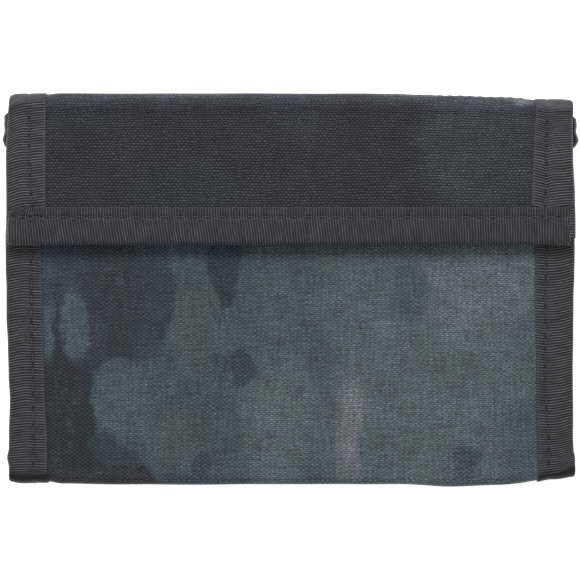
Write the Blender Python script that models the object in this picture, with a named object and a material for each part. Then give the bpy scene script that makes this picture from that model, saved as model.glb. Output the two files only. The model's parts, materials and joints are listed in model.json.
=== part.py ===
"""A closed trifold wallet of coated canvas, lying on its back.

+X runs to the wearer's right along the folds, +Y from the bottom fold to the top fold, and +Z from the back
panel to the flap. The origin is the centre of the face that it rests on. Everything is in metres.

Each panel is a stack of thin layers. A layer is placed by its depth under the outer face of its panel's
binding tape, so the same stack of depths builds the back, both folds, the front and the flap.
"""

from math import cos, pi, sin

import bmesh
import bpy

# Outline of the closed wallet
WIDTH = 0.1244
HEIGHT = 0.0862
HALF_X = WIDTH / 2
HALF_Y = HEIGHT / 2

# Cloth layers
GAP = 0.00015
TAPE = 0.00035
SHELL = 0.0007
LINING = 0.0004
FLAP_LINING = 0.00035
POCKET = 0.00035
BILL_GAP = 0.0014
COIN_GAP = 0.0016
HOOK = 0.0011
LOOP = 0.0012
INTERIOR = 0.0026

# Depth of each layer's outer side under the tape's outer face
SHELL_D = TAPE + GAP
SHELL_END_D = SHELL_D + SHELL
LINING_D = SHELL_END_D + BILL_GAP
LINING_END_D = LINING_D + LINING
FOLD_DEPTH = LINING_END_D + GAP + TAPE
POCKET_STEP = POCKET + GAP
HIGH_D = LINING_END_D + GAP
MIDDLE_D = HIGH_D + POCKET_STEP
LOW_D = MIDDLE_D + POCKET_STEP
BACK_DEPTH = LOW_D + POCKET + GAP + TAPE
COIN_D = LINING_END_D + COIN_GAP
COIN_END_D = COIN_D + LINING
FRONT_DEPTH = COIN_END_D + GAP + TAPE
RIGHT_DEPTH = SHELL_END_D + GAP + TAPE
FLAP_LINING_D = SHELL_END_D + GAP
FLAP_LINING_END_D = FLAP_LINING_D + FLAP_LINING
FLAP_DEPTH = FLAP_LINING_END_D + GAP + TAPE
HOOK_D = FLAP_LINING_END_D + GAP

# Levels of the panels' outer faces
FRONT_TOP = BACK_DEPTH + INTERIOR + FRONT_DEPTH
LOOP_TOP = FRONT_TOP - SHELL_D + GAP + LOOP
FLAP_TOP = LOOP_TOP + GAP + HOOK + HOOK_D

# Folds: each hinge line lies this deep under both outer faces
HINGE_D = SHELL_D + 0.0009
MITRE = 0.00015
HINGE_Y = HALF_Y - HINGE_D

# Binding tape
TAPE_WIDTH = 0.0083
TAPE_IN = HALF_X - TAPE_WIDTH
SHELL_X = HALF_X - TAPE - GAP
SMALL_TAPE_WIDTH = 0.0062
LINING_X = HALF_X - 0.0022
SMALL_TAPE_IN = LINING_X - SMALL_TAPE_WIDTH
LINING_END_X = LINING_X - TAPE - GAP

# Flap
FLAP_Y = 0.0096
FLAP_TAPE_TOP = FLAP_Y + 0.0084
FLAP_EDGE_RIGHT = HALF_X - 0.0010

# Front panel's top edge
FRONT_Y = 0.0399
FRONT_TAPE_LOW = FRONT_Y - 0.0087
BULGE = 0.0009

# Closure strips
HOOK_SIZE = (0.080, 0.016)
LOOP_SIZE = (0.084, 0.0185)
HOOK_LOW = FLAP_TAPE_TOP + 0.0006
LOOP_LOW = 0.0115

# Card pockets: how high each opening is, and how far each pocket reaches down
POCKET_BASE = -0.0395
POCKET_TOPS = {"low": 0.004, "middle": 0.016, "high": 0.028}
POCKET_FEET = {"low": POCKET_BASE, "middle": -0.028, "high": -0.016}
POCKET_DEPTHS = {"low": LOW_D, "middle": MIDDLE_D, "high": HIGH_D}
EDGING = 0.0003
EDGING_WIDTH = 0.006

# Zip
ZIP_Y = 0.019
ZIP_HALF_OPENING = 0.0056
ZIP_TAPE_WIDTH = 0.0115
ZIP_TAPE = 0.00035
TEETH_GAP = 0.0009
TEETH_WIDTH = 0.0016
TEETH_HEIGHT = 0.00115
ZIP_END = 0.048
STOP_LENGTH = 0.0016
SLIDER_TRAVEL = 0.086
SLIDER_X = -SLIDER_TRAVEL / 2
SLIDER_LENGTH = 0.0082
SLIDER_WIDE = 0.0064
SLIDER_NARROW = 0.0050
SLIDER_TOP = 0.00085
SLIDER_BASE = 0.0006
SLIDER_CUT = 0.0009
SLIDER_SHOULDER = 0.0006
RUNNING = 0.00025
POST = (0.0014, 0.0004)
BAIL_LENGTH = 0.0046
BAIL_WIDTH = 0.0010
BAIL_THICK = 0.0005
BAIL_RISE = 0.0015
BAIL_SLOPE = 0.0005
PULLER_THICK = 0.0006
ROUND_STEPS = 6
PULLER_LENGTH = 0.0215
PULLER_HEAD = 0.0054
PULLER_TAIL = 0.0040
PULLER_EYE = 0.0036
PULLER_RIM = 0.0006
PULLER_BAR = 0.0012

COLOURS = {
    "canvas": ((0.035, 0.048, 0.055), 0.75, 0.0),
    "binding": ((0.018, 0.018, 0.021), 0.8, 0.0),
    "lining": ((0.012, 0.012, 0.014), 0.6, 0.0),
    "card_pocket": ((0.022, 0.026, 0.030), 0.7, 0.0),
    "hook": ((0.010, 0.010, 0.011), 0.7, 0.0),
    "loop": ((0.012, 0.012, 0.013), 0.95, 0.0),
    "zip_tape": ((0.012, 0.012, 0.014), 0.8, 0.0),
    "zip_teeth": ((0.015, 0.015, 0.017), 0.4, 0.0),
    "zip_metal": ((0.09, 0.09, 0.10), 0.35, 1.0),
}


class Panel:
    """One panel of the wallet: how a point given by x, distance along the panel and depth lies in space."""

    def __init__(self, along, face, inward, low_hinge, high_hinge):
        self.along = along
        self.face = face
        self.inward = inward
        self.low_hinge = low_hinge
        self.high_hinge = high_hinge

    def point(self, x, distance, depth):
        level = self.face + self.inward * depth
        return (x, distance, level) if self.along == "y" else (x, level, distance)

    def ends(self, depth, low=None, high=None):
        """Where a layer at that depth ends: at the given edges, or mitred beside the fold's hinge line."""
        back_off = MITRE + max(0.0, depth - HINGE_D)
        first = self.low_hinge + back_off if low is None else low
        last = self.high_hinge - back_off if high is None else high
        return first, last


BACK = Panel("y", 0.0, 1, -HINGE_Y, HINGE_Y)
BOTTOM = Panel("z", -HALF_Y, 1, HINGE_D, FRONT_TOP - HINGE_D)
FRONT = Panel("y", FRONT_TOP, -1, -HINGE_Y, None)
TOP = Panel("z", HALF_Y, -1, HINGE_D, FLAP_TOP - HINGE_D)
FLAP = Panel("y", FLAP_TOP, -1, None, HINGE_Y)


def clear_scene():
    for thing in list(bpy.data.objects):
        bpy.data.objects.remove(thing, do_unlink=True)


def make_materials():
    made = {}
    for name, (colour, roughness, metallic) in COLOURS.items():
        material = bpy.data.materials.new(name)
        material.use_nodes = True
        shader = material.node_tree.nodes["Principled BSDF"]
        shader.inputs["Base Color"].default_value = (*colour, 1.0)
        shader.inputs["Roughness"].default_value = roughness
        shader.inputs["Metallic"].default_value = metallic
        material.diffuse_color = (*colour, 1.0)
        made[name] = material
    return made


def add_object(name, shape, material, parent=None):
    """Makes the bmesh an object, with its origin at its parent's place and its faces pointing out."""
    bmesh.ops.recalc_face_normals(shape, faces=shape.faces)
    if parent is not None:
        bmesh.ops.translate(shape, verts=shape.verts, vec=-parent.location)
    mesh = bpy.data.meshes.new(name)
    shape.to_mesh(mesh)
    shape.free()
    mesh.materials.append(MATERIALS[material])
    thing = bpy.data.objects.new(name, mesh)
    bpy.context.scene.collection.objects.link(thing)
    thing.parent = parent
    return thing


def add_pivot(name, place):
    """An empty on a joint's axis, which the moving pieces are parented to."""
    pivot = bpy.data.objects.new(name, None)
    pivot.location = place
    bpy.context.scene.collection.objects.link(pivot)
    return pivot


def bar(first, last):
    """A closed shape between two outlines with as many points each, joined by straight walls."""
    shape = bmesh.new()
    start = [shape.verts.new(point) for point in first]
    stop = [shape.verts.new(point) for point in last]
    shape.faces.new(start)
    shape.faces.new(stop)
    count = len(start)
    for i in range(count):
        j = (i + 1) % count
        shape.faces.new((start[i], start[j], stop[j], stop[i]))
    bmesh.ops.recalc_face_normals(shape, faces=shape.faces)
    return shape


def lengthways(panel, outline, low=None, high=None):
    """A bar with the given (x, depth) outline that runs along the panel, with each end mitred or square."""
    first, last = [], []
    for x, depth in outline:
        start, stop = panel.ends(depth, low, high)
        first.append(panel.point(x, start, depth))
        last.append(panel.point(x, stop, depth))
    return bar(first, last)


def crossways(panel, outline, left, right):
    """A bar with the given (distance, depth) outline that runs across the panel."""
    first, last = ([panel.point(x, along, depth) for along, depth in outline] for x in (left, right))
    return bar(first, last)


def layer(name, panel, material, left, right, depth, thick, low=None, high=None, parent=None):
    """A flat sheet of cloth between two depths."""
    outline = ((left, depth), (right, depth), (right, depth + thick), (left, depth + thick))
    return add_object(name, lengthways(panel, outline, low, high), material, parent)


def side_tape(name, panel, side, outer, inner, first, last, low=None, high=None, parent=None):
    """Binding tape folded round a side edge; its legs lie at the depths first and last."""
    wall = outer - TAPE
    outline = (
        (outer, first),
        (inner, first),
        (inner, first + TAPE),
        (wall, first + TAPE),
        (wall, last - TAPE),
        (inner, last - TAPE),
        (inner, last),
        (outer, last),
    )
    outline = [(side * x, depth) for x, depth in outline]
    return add_object(name, lengthways(panel, outline, low, high), "binding", parent)


def edge_tape(name, panel, left, right, edge, inner, last, parent):
    """Binding tape folded over a free edge that runs along X."""
    turn = 1 if edge > inner else -1
    wall = edge - turn * TAPE
    outline = (
        (edge, 0.0),
        (inner, 0.0),
        (inner, TAPE),
        (wall, TAPE),
        (wall, last - TAPE),
        (inner, last - TAPE),
        (inner, last),
        (edge, last),
    )
    return add_object(name, crossways(panel, outline, left, right), "binding", parent)


def prism(outline, low, high):
    """A solid with an (x, y) outline between two levels."""
    return bar(*([(x, y, level) for x, y in outline] for level in (low, high)))


def rectangle(left, right, low, high):
    return [(left, low), (right, low), (right, high), (left, high)]


def joined(name, shapes, material, parent):
    """The union of closed shapes that overlap clearly."""
    whole = add_object(name, shapes[0], material, parent)
    for number, shape in enumerate(shapes[1:]):
        other = add_object(f"{name}_helper_{number}", shape, material, parent)
        combine(whole, other, "UNION")
    return whole


def combine(thing, other, operation):
    other.hide_render = True
    other.display_type = "WIRE"
    step = thing.modifiers.new(operation.lower(), "BOOLEAN")
    step.operation = operation
    step.solver = "EXACT"
    step.object = other


def make_back():
    layer("shell_back", BACK, "canvas", -SHELL_X, SHELL_X, SHELL_D, SHELL)
    side_tape("binding_back_left", BACK, -1, HALF_X, TAPE_IN, 0.0, BACK_DEPTH)
    side_tape("binding_back_right", BACK, 1, HALF_X, TAPE_IN, 0.0, RIGHT_DEPTH)
    layer("lining_back", BACK, "lining", -SHELL_X, LINING_END_X, LINING_D, LINING)
    lining_tape("lining_binding_back", BACK, BACK_DEPTH)
    for step, top in POCKET_TOPS.items():
        depth = POCKET_DEPTHS[step]
        foot = max(POCKET_FEET[step], BACK.ends(depth + POCKET)[0])
        roof = top - EDGING - GAP
        layer(f"card_pocket_{step}", BACK, "card_pocket", -SHELL_X, LINING_END_X, depth, POCKET, foot, roof)
        card_edging(f"card_edging_{step}", top, depth)


def card_edging(name, top, depth):
    """The tape on a card pocket's mouth: a face leg and the turn over the pocket's edge."""
    near = depth + POCKET + GAP
    low = top - EDGING_WIDTH
    turn = top - EDGING
    far = near + EDGING
    outline = ((low, near), (low, far), (top, far), (top, depth), (turn, depth), (turn, near))
    add_object(name, crossways(BACK, outline, GAP - TAPE_IN, SMALL_TAPE_IN - GAP), "binding")


def lining_tape(name, panel, last, low=None, high=None, parent=None):
    """The tape on the banknote compartment's open side, which binds the lining and what is sewn to it."""
    side_tape(name, panel, 1, LINING_X, SMALL_TAPE_IN, LINING_D - GAP - TAPE, last, low, high, parent)


def make_bottom_fold(pivot):
    layer("shell_bottom_fold", BOTTOM, "canvas", -SHELL_X, SHELL_X, SHELL_D, SHELL, parent=pivot)
    side_tape("binding_bottom_left", BOTTOM, -1, HALF_X, TAPE_IN, 0.0, FOLD_DEPTH, parent=pivot)
    side_tape("binding_bottom_right", BOTTOM, 1, HALF_X, TAPE_IN, 0.0, RIGHT_DEPTH, parent=pivot)
    layer("lining_bottom_fold", BOTTOM, "lining", -SHELL_X, LINING_END_X, LINING_D, LINING, parent=pivot)
    lining_tape("lining_binding_bottom", BOTTOM, FOLD_DEPTH, parent=pivot)


def make_front(pivot):
    top = FRONT_Y - TAPE - GAP
    layer("shell_front", FRONT, "canvas", -SHELL_X, SHELL_X, SHELL_D, SHELL, high=top, parent=pivot)
    side_top = FRONT_TAPE_LOW - GAP
    side_tape("binding_front_left", FRONT, -1, HALF_X, TAPE_IN, 0.0, FRONT_DEPTH, high=side_top, parent=pivot)
    side_tape("binding_front_right", FRONT, 1, HALF_X, TAPE_IN, 0.0, RIGHT_DEPTH, high=side_top, parent=pivot)
    end = HALF_X + BULGE
    edge_tape("binding_front_edge", FRONT, -end, end, FRONT_Y, FRONT_TAPE_LOW, FRONT_DEPTH, pivot)
    layer("lining_front", FRONT, "lining", -SHELL_X, LINING_END_X, LINING_D, LINING, high=top, parent=pivot)
    lining_tape("lining_binding_front", FRONT, FRONT_DEPTH, high=side_top, parent=pivot)
    make_coin_pocket(pivot, top)
    left = -LOOP_SIZE[0] / 2
    outer = SHELL_D - GAP - LOOP
    high = LOOP_LOW + LOOP_SIZE[1]
    layer("loop_strip", FRONT, "loop", left, -left, outer, LOOP, LOOP_LOW, high, parent=pivot)


def make_coin_pocket(pivot, top):
    low = ZIP_Y - ZIP_HALF_OPENING
    high = ZIP_Y + ZIP_HALF_OPENING
    for word, edges in (("lower", (None, low)), ("upper", (high, top))):
        name = f"coin_panel_{word}"
        layer(name, FRONT, "lining", -SHELL_X, LINING_END_X, COIN_D, LINING, *edges, parent=pivot)
    tape_d = COIN_D - GAP - ZIP_TAPE
    teeth_d = tape_d + ZIP_TAPE + RUNNING / 2
    half_gap = TEETH_GAP / 2
    for side, word in ((-1, "lower"), (1, "upper")):
        near = ZIP_Y + side * half_gap
        far = near + side * ZIP_TAPE_WIDTH
        row = near + side * TEETH_WIDTH
        edges = sorted((near, far))
        name = f"zip_tape_{word}"
        layer(name, FRONT, "zip_tape", -SHELL_X, LINING_END_X, tape_d, ZIP_TAPE, *edges, parent=pivot)
        edges = sorted((near, row))
        name = f"zip_teeth_{word}"
        layer(name, FRONT, "zip_teeth", -ZIP_END, ZIP_END, teeth_d, TEETH_HEIGHT, *edges, parent=pivot)
    for side, word in ((-1, "left"), (1, "right")):
        make_zip_stop(f"zip_stop_{word}", side, tape_d, teeth_d, pivot)


def make_zip_stop(name, side, tape_d, teeth_d, pivot):
    """A clip over the end of both rows of teeth."""
    near = side * (ZIP_END + GAP)
    far = near + side * STOP_LENGTH
    left, right = sorted((near, far))
    half = TEETH_GAP / 2 + TEETH_WIDTH
    low = ZIP_Y - half
    high = ZIP_Y + half
    depth = tape_d + ZIP_TAPE + GAP
    layer(name, FRONT, "zip_metal", left, right, depth, TEETH_HEIGHT, low, high, parent=pivot)


def slider_levels():
    """The levels that the slider's plates, bail and puller lie between, from the front panel downwards."""
    tape_back = FRONT_TOP - (COIN_D - GAP - ZIP_TAPE)
    teeth_face = FRONT_TOP - (COIN_D - GAP + RUNNING / 2 + TEETH_HEIGHT)
    base = (tape_back + RUNNING, tape_back + RUNNING + SLIDER_BASE)
    top = (teeth_face - RUNNING - SLIDER_TOP, teeth_face - RUNNING)
    return base, top


def slider_outline(wide, narrow):
    """The slider's plate from above: a shield, wide at its mouth and narrow at its tail, with cut corners."""
    half = SLIDER_LENGTH / 2
    upper = (
        (half, narrow / 2 - SLIDER_CUT),
        (half - SLIDER_CUT, narrow / 2),
        (SLIDER_SHOULDER, narrow / 2),
        (-SLIDER_SHOULDER, wide / 2),
        (-half + SLIDER_CUT, wide / 2),
        (-half, wide / 2 - SLIDER_CUT),
    )
    lower = [(x, -y) for x, y in reversed(upper)]
    return [(SLIDER_X + x, ZIP_Y + y) for x, y in (*upper, *lower)]


def make_slider(pivot):
    base, top = slider_levels()
    outline = slider_outline(SLIDER_WIDE, SLIDER_NARROW)
    base_plate = prism(outline, *base)
    top_plate = prism(outline, *top)
    half_x, half_y = POST[0] / 2, POST[1] / 2
    post_box = rectangle(SLIDER_X - half_x, SLIDER_X + half_x, ZIP_Y - half_y, ZIP_Y + half_y)
    post = prism(post_box, top[1] - SLIDER_TOP / 2, base[0] + SLIDER_BASE / 2)
    bail = bail_shape(top[0])
    joined("zip_slider", [top_plate, base_plate, post, bail], "zip_metal", pivot)


def bail_shape(plate_face):
    """The low arch on the slider that the puller hangs on; its feet sink into the plate."""
    half = BAIL_LENGTH / 2
    sunk = plate_face + SLIDER_TOP / 2
    crown = plate_face - BAIL_RISE
    outline = (
        (-half, sunk),
        (-half, crown + BAIL_SLOPE),
        (-half + BAIL_SLOPE, crown),
        (half - BAIL_SLOPE, crown),
        (half, crown + BAIL_SLOPE),
        (half, sunk),
        (half - BAIL_THICK, sunk),
        (half - BAIL_THICK, crown + BAIL_THICK),
        (-half + BAIL_THICK, crown + BAIL_THICK),
        (-half + BAIL_THICK, sunk),
    )
    edges = (ZIP_Y - BAIL_WIDTH / 2, ZIP_Y + BAIL_WIDTH / 2)
    return bar(*([(SLIDER_X + x, y, z) for x, z in outline] for y in edges))


def make_puller(pivot):
    """A flat tab whose eye goes round the slider's bail, with rounded ends."""
    _, top = slider_levels()
    middle = top[0] - (BAIL_RISE - BAIL_THICK) / 2
    low = middle - PULLER_THICK / 2
    high = middle + PULLER_THICK / 2
    x0 = SLIDER_X - PULLER_BAR / 2
    x1 = x0 + PULLER_LENGTH
    head = PULLER_HEAD / 2
    half = PULLER_TAIL / 2
    eye_left = x0 + PULLER_BAR
    eye_right = eye_left + PULLER_EYE
    shoulder = eye_right + PULLER_RIM
    upper = [(x0, head), (shoulder, head), (shoulder + head - half, half)]
    for step in range(ROUND_STEPS + 1):
        turn = pi / 2 * (1 - step / ROUND_STEPS)
        upper.append((x1 - half + half * cos(turn), half * sin(turn)))
    lower = [(x, -y) for x, y in reversed(upper[:-1])]
    outline = [(x, ZIP_Y + y) for x, y in (*upper, *lower)]
    tab = add_object("zip_puller", prism(outline, low, high), "zip_metal", pivot)
    eye_half = head - PULLER_RIM
    eye_box = rectangle(eye_left, eye_right, ZIP_Y - eye_half, ZIP_Y + eye_half)
    eye = add_object("puller_eye_cutter", prism(eye_box, low - TAPE, high + TAPE), "zip_metal", pivot)
    combine(tab, eye, "DIFFERENCE")


def make_top_fold(pivot):
    layer("shell_top_fold", TOP, "canvas", -SHELL_X, SHELL_X, SHELL_D, SHELL, parent=pivot)
    for side, word in ((-1, "left"), (1, "right")):
        side_tape(f"binding_top_{word}", TOP, side, HALF_X, TAPE_IN, 0.0, FLAP_DEPTH, parent=pivot)
    layer("lining_top_fold", TOP, "lining", -SHELL_X, SHELL_X, FLAP_LINING_D, FLAP_LINING, parent=pivot)


def make_flap(pivot):
    low = FLAP_Y + TAPE + GAP
    layer("shell_flap", FLAP, "canvas", -SHELL_X, SHELL_X, SHELL_D, SHELL, low=low, parent=pivot)
    layer("lining_flap", FLAP, "lining", -SHELL_X, SHELL_X, FLAP_LINING_D, FLAP_LINING, low=low, parent=pivot)
    side_low = FLAP_TAPE_TOP + GAP
    for side, word in ((-1, "left"), (1, "right")):
        name = f"binding_flap_{word}"
        side_tape(name, FLAP, side, HALF_X, TAPE_IN, 0.0, FLAP_DEPTH, low=side_low, parent=pivot)
    edge_tape("binding_flap_edge", FLAP, -HALF_X, FLAP_EDGE_RIGHT, FLAP_Y, FLAP_TAPE_TOP, FLAP_DEPTH, pivot)
    left = -HOOK_SIZE[0] / 2
    high = HOOK_LOW + HOOK_SIZE[1]
    layer("hook_strip", FLAP, "hook", left, -left, HOOK_D, HOOK, HOOK_LOW, high, parent=pivot)


clear_scene()
MATERIALS = make_materials()
bottom_pivot = add_pivot("bottom_fold_axis", (0.0, -HINGE_Y, HINGE_D))
front_pivot = add_pivot("front_axis", (0.0, -HINGE_Y, FRONT_TOP - HINGE_D))
top_pivot = add_pivot("top_fold_axis", (0.0, HINGE_Y, HINGE_D))
flap_pivot = add_pivot("flap_axis", (0.0, HINGE_Y, FLAP_TOP - HINGE_D))
slider_pivot = add_pivot("slider_place", (SLIDER_X, ZIP_Y, slider_levels()[1][0]))
make_back()
make_bottom_fold(bottom_pivot)
make_front(front_pivot)
make_top_fold(top_pivot)
make_flap(flap_pivot)
make_slider(slider_pivot)
make_puller(slider_pivot)
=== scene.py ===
"""Looks of the trifold wallet: cloth, binding tape, thread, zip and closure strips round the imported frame.

Lengths are in millimetres until make_mesh() turns them into metres.
"""

import json
import math

import bmesh
import bpy
import numpy as np
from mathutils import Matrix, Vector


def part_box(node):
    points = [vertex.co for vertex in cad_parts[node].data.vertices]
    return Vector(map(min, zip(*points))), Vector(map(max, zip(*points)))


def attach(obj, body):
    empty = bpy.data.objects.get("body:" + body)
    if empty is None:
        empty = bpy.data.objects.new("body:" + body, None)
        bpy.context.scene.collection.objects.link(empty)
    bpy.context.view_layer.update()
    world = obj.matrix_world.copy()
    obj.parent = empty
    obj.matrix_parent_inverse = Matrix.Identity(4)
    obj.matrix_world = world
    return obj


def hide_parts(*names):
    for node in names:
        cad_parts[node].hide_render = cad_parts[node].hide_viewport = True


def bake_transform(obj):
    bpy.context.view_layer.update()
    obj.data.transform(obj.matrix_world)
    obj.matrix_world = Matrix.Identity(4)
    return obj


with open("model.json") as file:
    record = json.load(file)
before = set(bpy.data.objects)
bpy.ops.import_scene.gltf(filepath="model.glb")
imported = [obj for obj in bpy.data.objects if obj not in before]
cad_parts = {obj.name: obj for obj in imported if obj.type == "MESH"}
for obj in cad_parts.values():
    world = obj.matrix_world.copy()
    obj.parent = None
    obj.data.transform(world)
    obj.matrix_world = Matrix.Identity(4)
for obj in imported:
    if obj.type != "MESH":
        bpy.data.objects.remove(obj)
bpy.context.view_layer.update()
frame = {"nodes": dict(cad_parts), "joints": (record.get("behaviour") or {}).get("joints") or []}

MM = 0.001
QUARTER = math.pi / 2
TURN = 2 * math.pi


# ---------------------------------------------------------------- places and depths, all read from the frame


def low(node):
    return np.array(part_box(node)[0]) / MM


def high(node):
    return np.array(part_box(node)[1]) / MM


def hinge(name):
    joint = next(j for j in frame["joints"] if j["name"] == name)
    return np.array(joint["pos_m"]) / MM


BACK_LOW, BOTTOM_HIGH = hinge("front_open"), hinge("front_unfold")
BACK_HIGH, TOP_HIGH = hinge("flap_open"), hinge("flap_unfold")
HINGE_D = BACK_LOW[2]
HALF_X = high("binding_back_right")[0]
HALF_Y = high("binding_top_left")[1]
FRONT_Z = high("binding_front_left")[2]
FLAP_Z = high("binding_flap_left")[2]

# Where the four hinges lie along the strip, and the middles of the two folds
T_BACK_LOW = BACK_LOW[1]
T_BOTTOM_HIGH = T_BACK_LOW - (BOTTOM_HIGH[2] - BACK_LOW[2])
T_BACK_HIGH = BACK_HIGH[1]
T_TOP_HIGH = T_BACK_HIGH + TOP_HIGH[2] - BACK_HIGH[2]
T_BOTTOM = (T_BACK_LOW + T_BOTTOM_HIGH) / 2
T_TOP = (T_BACK_HIGH + T_TOP_HIGH) / 2


def front_t(y):
    """Where a height on the closed front panel lies along the strip."""
    return T_BOTTOM_HIGH + T_BACK_LOW - y


def flap_t(y):
    return T_TOP_HIGH + T_BACK_HIGH - y


T_FRONT_EDGE = front_t(high("binding_front_edge")[1])
T_FLAP_EDGE = flap_t(low("binding_flap_edge")[1])

# Depths under the tape's outer face
SHELL_IN = high("shell_back")[2]
CANVAS_THICK = 0.78
SHELL_OUT = SHELL_IN - CANVAS_THICK
LINING_OUT, LINING_IN = low("lining_back")[2], high("lining_back")[2]
FLAP_LINING_OUT = FLAP_Z - high("lining_flap")[2]
FLAP_LINING_IN = FLAP_Z - low("lining_flap")[2]
COIN_OUT = FRONT_Z - high("coin_panel_lower")[2]
COIN_IN = FRONT_Z - low("coin_panel_lower")[2]
BACK_DEPTH = high("binding_back_left")[2]
FRONT_DEPTH = FRONT_Z - low("binding_front_left")[2]
FLAP_DEPTH = FLAP_Z - low("binding_flap_left")[2]
FOLD_DEPTH = high("binding_bottom_left")[1] + HALF_Y
RIGHT_DEPTH = high("binding_back_right")[2]
SMALL_TAPE_OUT = low("lining_binding_back")[2]
# The gap left between two layers where they are sewn together
SEWN_GAP = 0.15

# Edges across the strip
TAPE_WIDTH = HALF_X - low("binding_back_right")[0]
SHELL_X = high("shell_back")[0]
LINING_X = high("lining_back")[0]
SMALL_TAPE_X = high("lining_binding_back")[0]
SMALL_TAPE_WIDTH = SMALL_TAPE_X - low("lining_binding_back")[0]


def smooth(value, start=0.0, end=1.0):
    """0 before start, 1 after end, and a smooth rise between."""
    u = np.clip((value - start) / (end - start), 0, 1)
    return u * u * (3 - 2 * u)


def bell(distance, width):
    return np.exp(-((distance / width) ** 2))


def through(value, *knots):
    """A smooth curve through (place, height) knots, level at each of them."""
    places = np.array([k[0] for k in knots], float)
    heights = np.array([k[1] for k in knots], float)
    value = np.clip(value, places[0], places[-1])
    i = np.clip(np.searchsorted(places, value) - 1, 0, len(places) - 2)
    share = smooth((value - places[i]) / (places[i + 1] - places[i]))
    return heights[i] + (heights[i + 1] - heights[i]) * share


# ---------------------------------------------------------------- folding the strip


class Fold:
    """A quarter turn of the cloth round one hinge, from the direction out towards inward."""

    def __init__(self, bodies, pivot, t, way, out, inward, reach):
        self.bodies = bodies
        self.pivot = np.array(pivot[1:])
        self.t = t
        self.way = way
        self.out = np.array(out, float)
        self.inward = np.array(inward, float)
        self.reach = reach

    def bend(self, t, d):
        """The (y, z) of strip points."""
        a, h = self.way * (t - self.t), d - HINGE_D
        lowest, highest = np.zeros_like(a), np.ones_like(a)
        for _ in range(26):
            w = (lowest + highest) / 2
            c, s = np.cos(w * QUARTER), np.sin(w * QUARTER)
            along = (a * (c + s) + h * (c - s)) / math.sqrt(2)
            more = smooth(along, -self.reach, self.reach) > w
            lowest, highest = np.where(more, w, lowest), np.where(more, highest, w)
        out, inward = a * c - h * s, a * s + h * c
        return self.pivot + out[..., None] * self.out + inward[..., None] * self.inward

    def follow(self, piece):
        """Bakes the piece's placement into its mesh."""
        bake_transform(piece)


LOW_REACH, HIGH_REACH = 2.0, 3.0
UP, DOWN_Y, UP_Y = (0, 1), (-1, 0), (1, 0)
BACK_BOTTOM = Fold(("back", "bottom_fold"), BACK_LOW, T_BACK_LOW, -1, DOWN_Y, UP, LOW_REACH)
BOTTOM_FRONT = Fold(("bottom_fold", "front"), BOTTOM_HIGH, T_BOTTOM_HIGH, -1, UP, UP_Y, LOW_REACH)
BACK_TOP = Fold(("back", "top_fold"), BACK_HIGH, T_BACK_HIGH, 1, UP_Y, UP, HIGH_REACH)
TOP_FLAP = Fold(("top_fold", "flap"), TOP_HIGH, T_TOP_HIGH, 1, UP, DOWN_Y, HIGH_REACH)
# Each fold with the stretch of the strip that it shapes
ZONES = {
    "bottom_front": (BOTTOM_FRONT, -np.inf, T_BOTTOM),
    "back_bottom": (BACK_BOTTOM, T_BOTTOM, 0.0),
    "back_top": (BACK_TOP, 0.0, T_TOP),
    "top_flap": (TOP_FLAP, T_TOP, np.inf),
}


def fold_up(x, t, d):
    x, t, d = np.broadcast_arrays(np.asarray(x, float), np.asarray(t, float), np.asarray(d, float))
    points = np.empty(x.shape + (3,))
    points[..., 0] = x
    for fold, first, last in ZONES.values():
        here = (t >= first) & (t < last)
        points[here, 1:] = fold.bend(t[here], d[here])
    return points


def top_drop(x):
    """How far the top fold's crest lies below the box along X. The seam inside it pulls small scallops."""
    sag = through(
        x, (-62.6, 0.8), (-60, 0.2), (-56, 0.04), (0, 0.04), (12, 0.1), (23, 0.14), (28, 0.32), (36, 0.46),
        (46, 0.74), (54, 1.25), (59, 1.38), (62.6, 1.6)
    )
    scallop = 0.07 * (1 - np.cos(TURN * x / 2.2)) * smooth(x, 24, 34) * smooth(-x, -56, -50)
    return sag + scallop


def bottom_rise(x):
    return through(
        x, (-62.6, 0.5), (-59, 0.15), (-54, 0.2), (-50, 0.0), (-37, -0.25), (24, -0.15), (35, -0.73),
        (46, -0.3), (53, 0.2), (58, 0.98), (62.6, 1.5)
    )


def swell(x, y):
    """How far the front and the flap stand off between their bound edges."""
    crown = 0.3 * (1 - smooth(np.abs(x), 30, 57))
    waves = 0.1 * np.sin(x / 11 + 0.6 * np.sin(y / 13)) + 0.08 * np.sin(y / 7 + x / 19 + 1.3)
    return crown + waves * (1 - smooth(np.abs(x), 50, 60))


# How far the folds draw in at their front and back, the heights between which the swell sets in, and how far
# from the middle the panels start to follow the folds' crests
FOLD_PINCH = 0.5
SWELL_FROM, SWELL_FULL = 10.6, 12.4
END_ZONE = 30.0


def settle(points):
    """Moves the neatly folded wallet into its worn outline."""
    x, y, z = points[..., 0], points[..., 1], points[..., 2]
    top, bottom = smooth(y, END_ZONE, HALF_Y), smooth(-y, END_ZONE, HALF_Y)
    top_arch = ((z - FLAP_Z / 2) / (FLAP_Z / 2)) ** 2
    bottom_arch = ((z - FRONT_Z / 2) / (FRONT_Z / 2)) ** 2
    settled = points.copy()
    settled[..., 1] -= top * (top_drop(x) + FOLD_PINCH * np.minimum(top_arch, 1))
    settled[..., 1] += bottom * (bottom_rise(x) + FOLD_PINCH * np.minimum(bottom_arch, 1))
    settled[..., 2] += smooth(z, SWELL_FROM, SWELL_FULL) * swell(x, y)
    return settled


def place(x, t, d):
    return settle(fold_up(x, t, d))


def placed(points):
    return place(points[..., 0], points[..., 1], points[..., 2])


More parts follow.
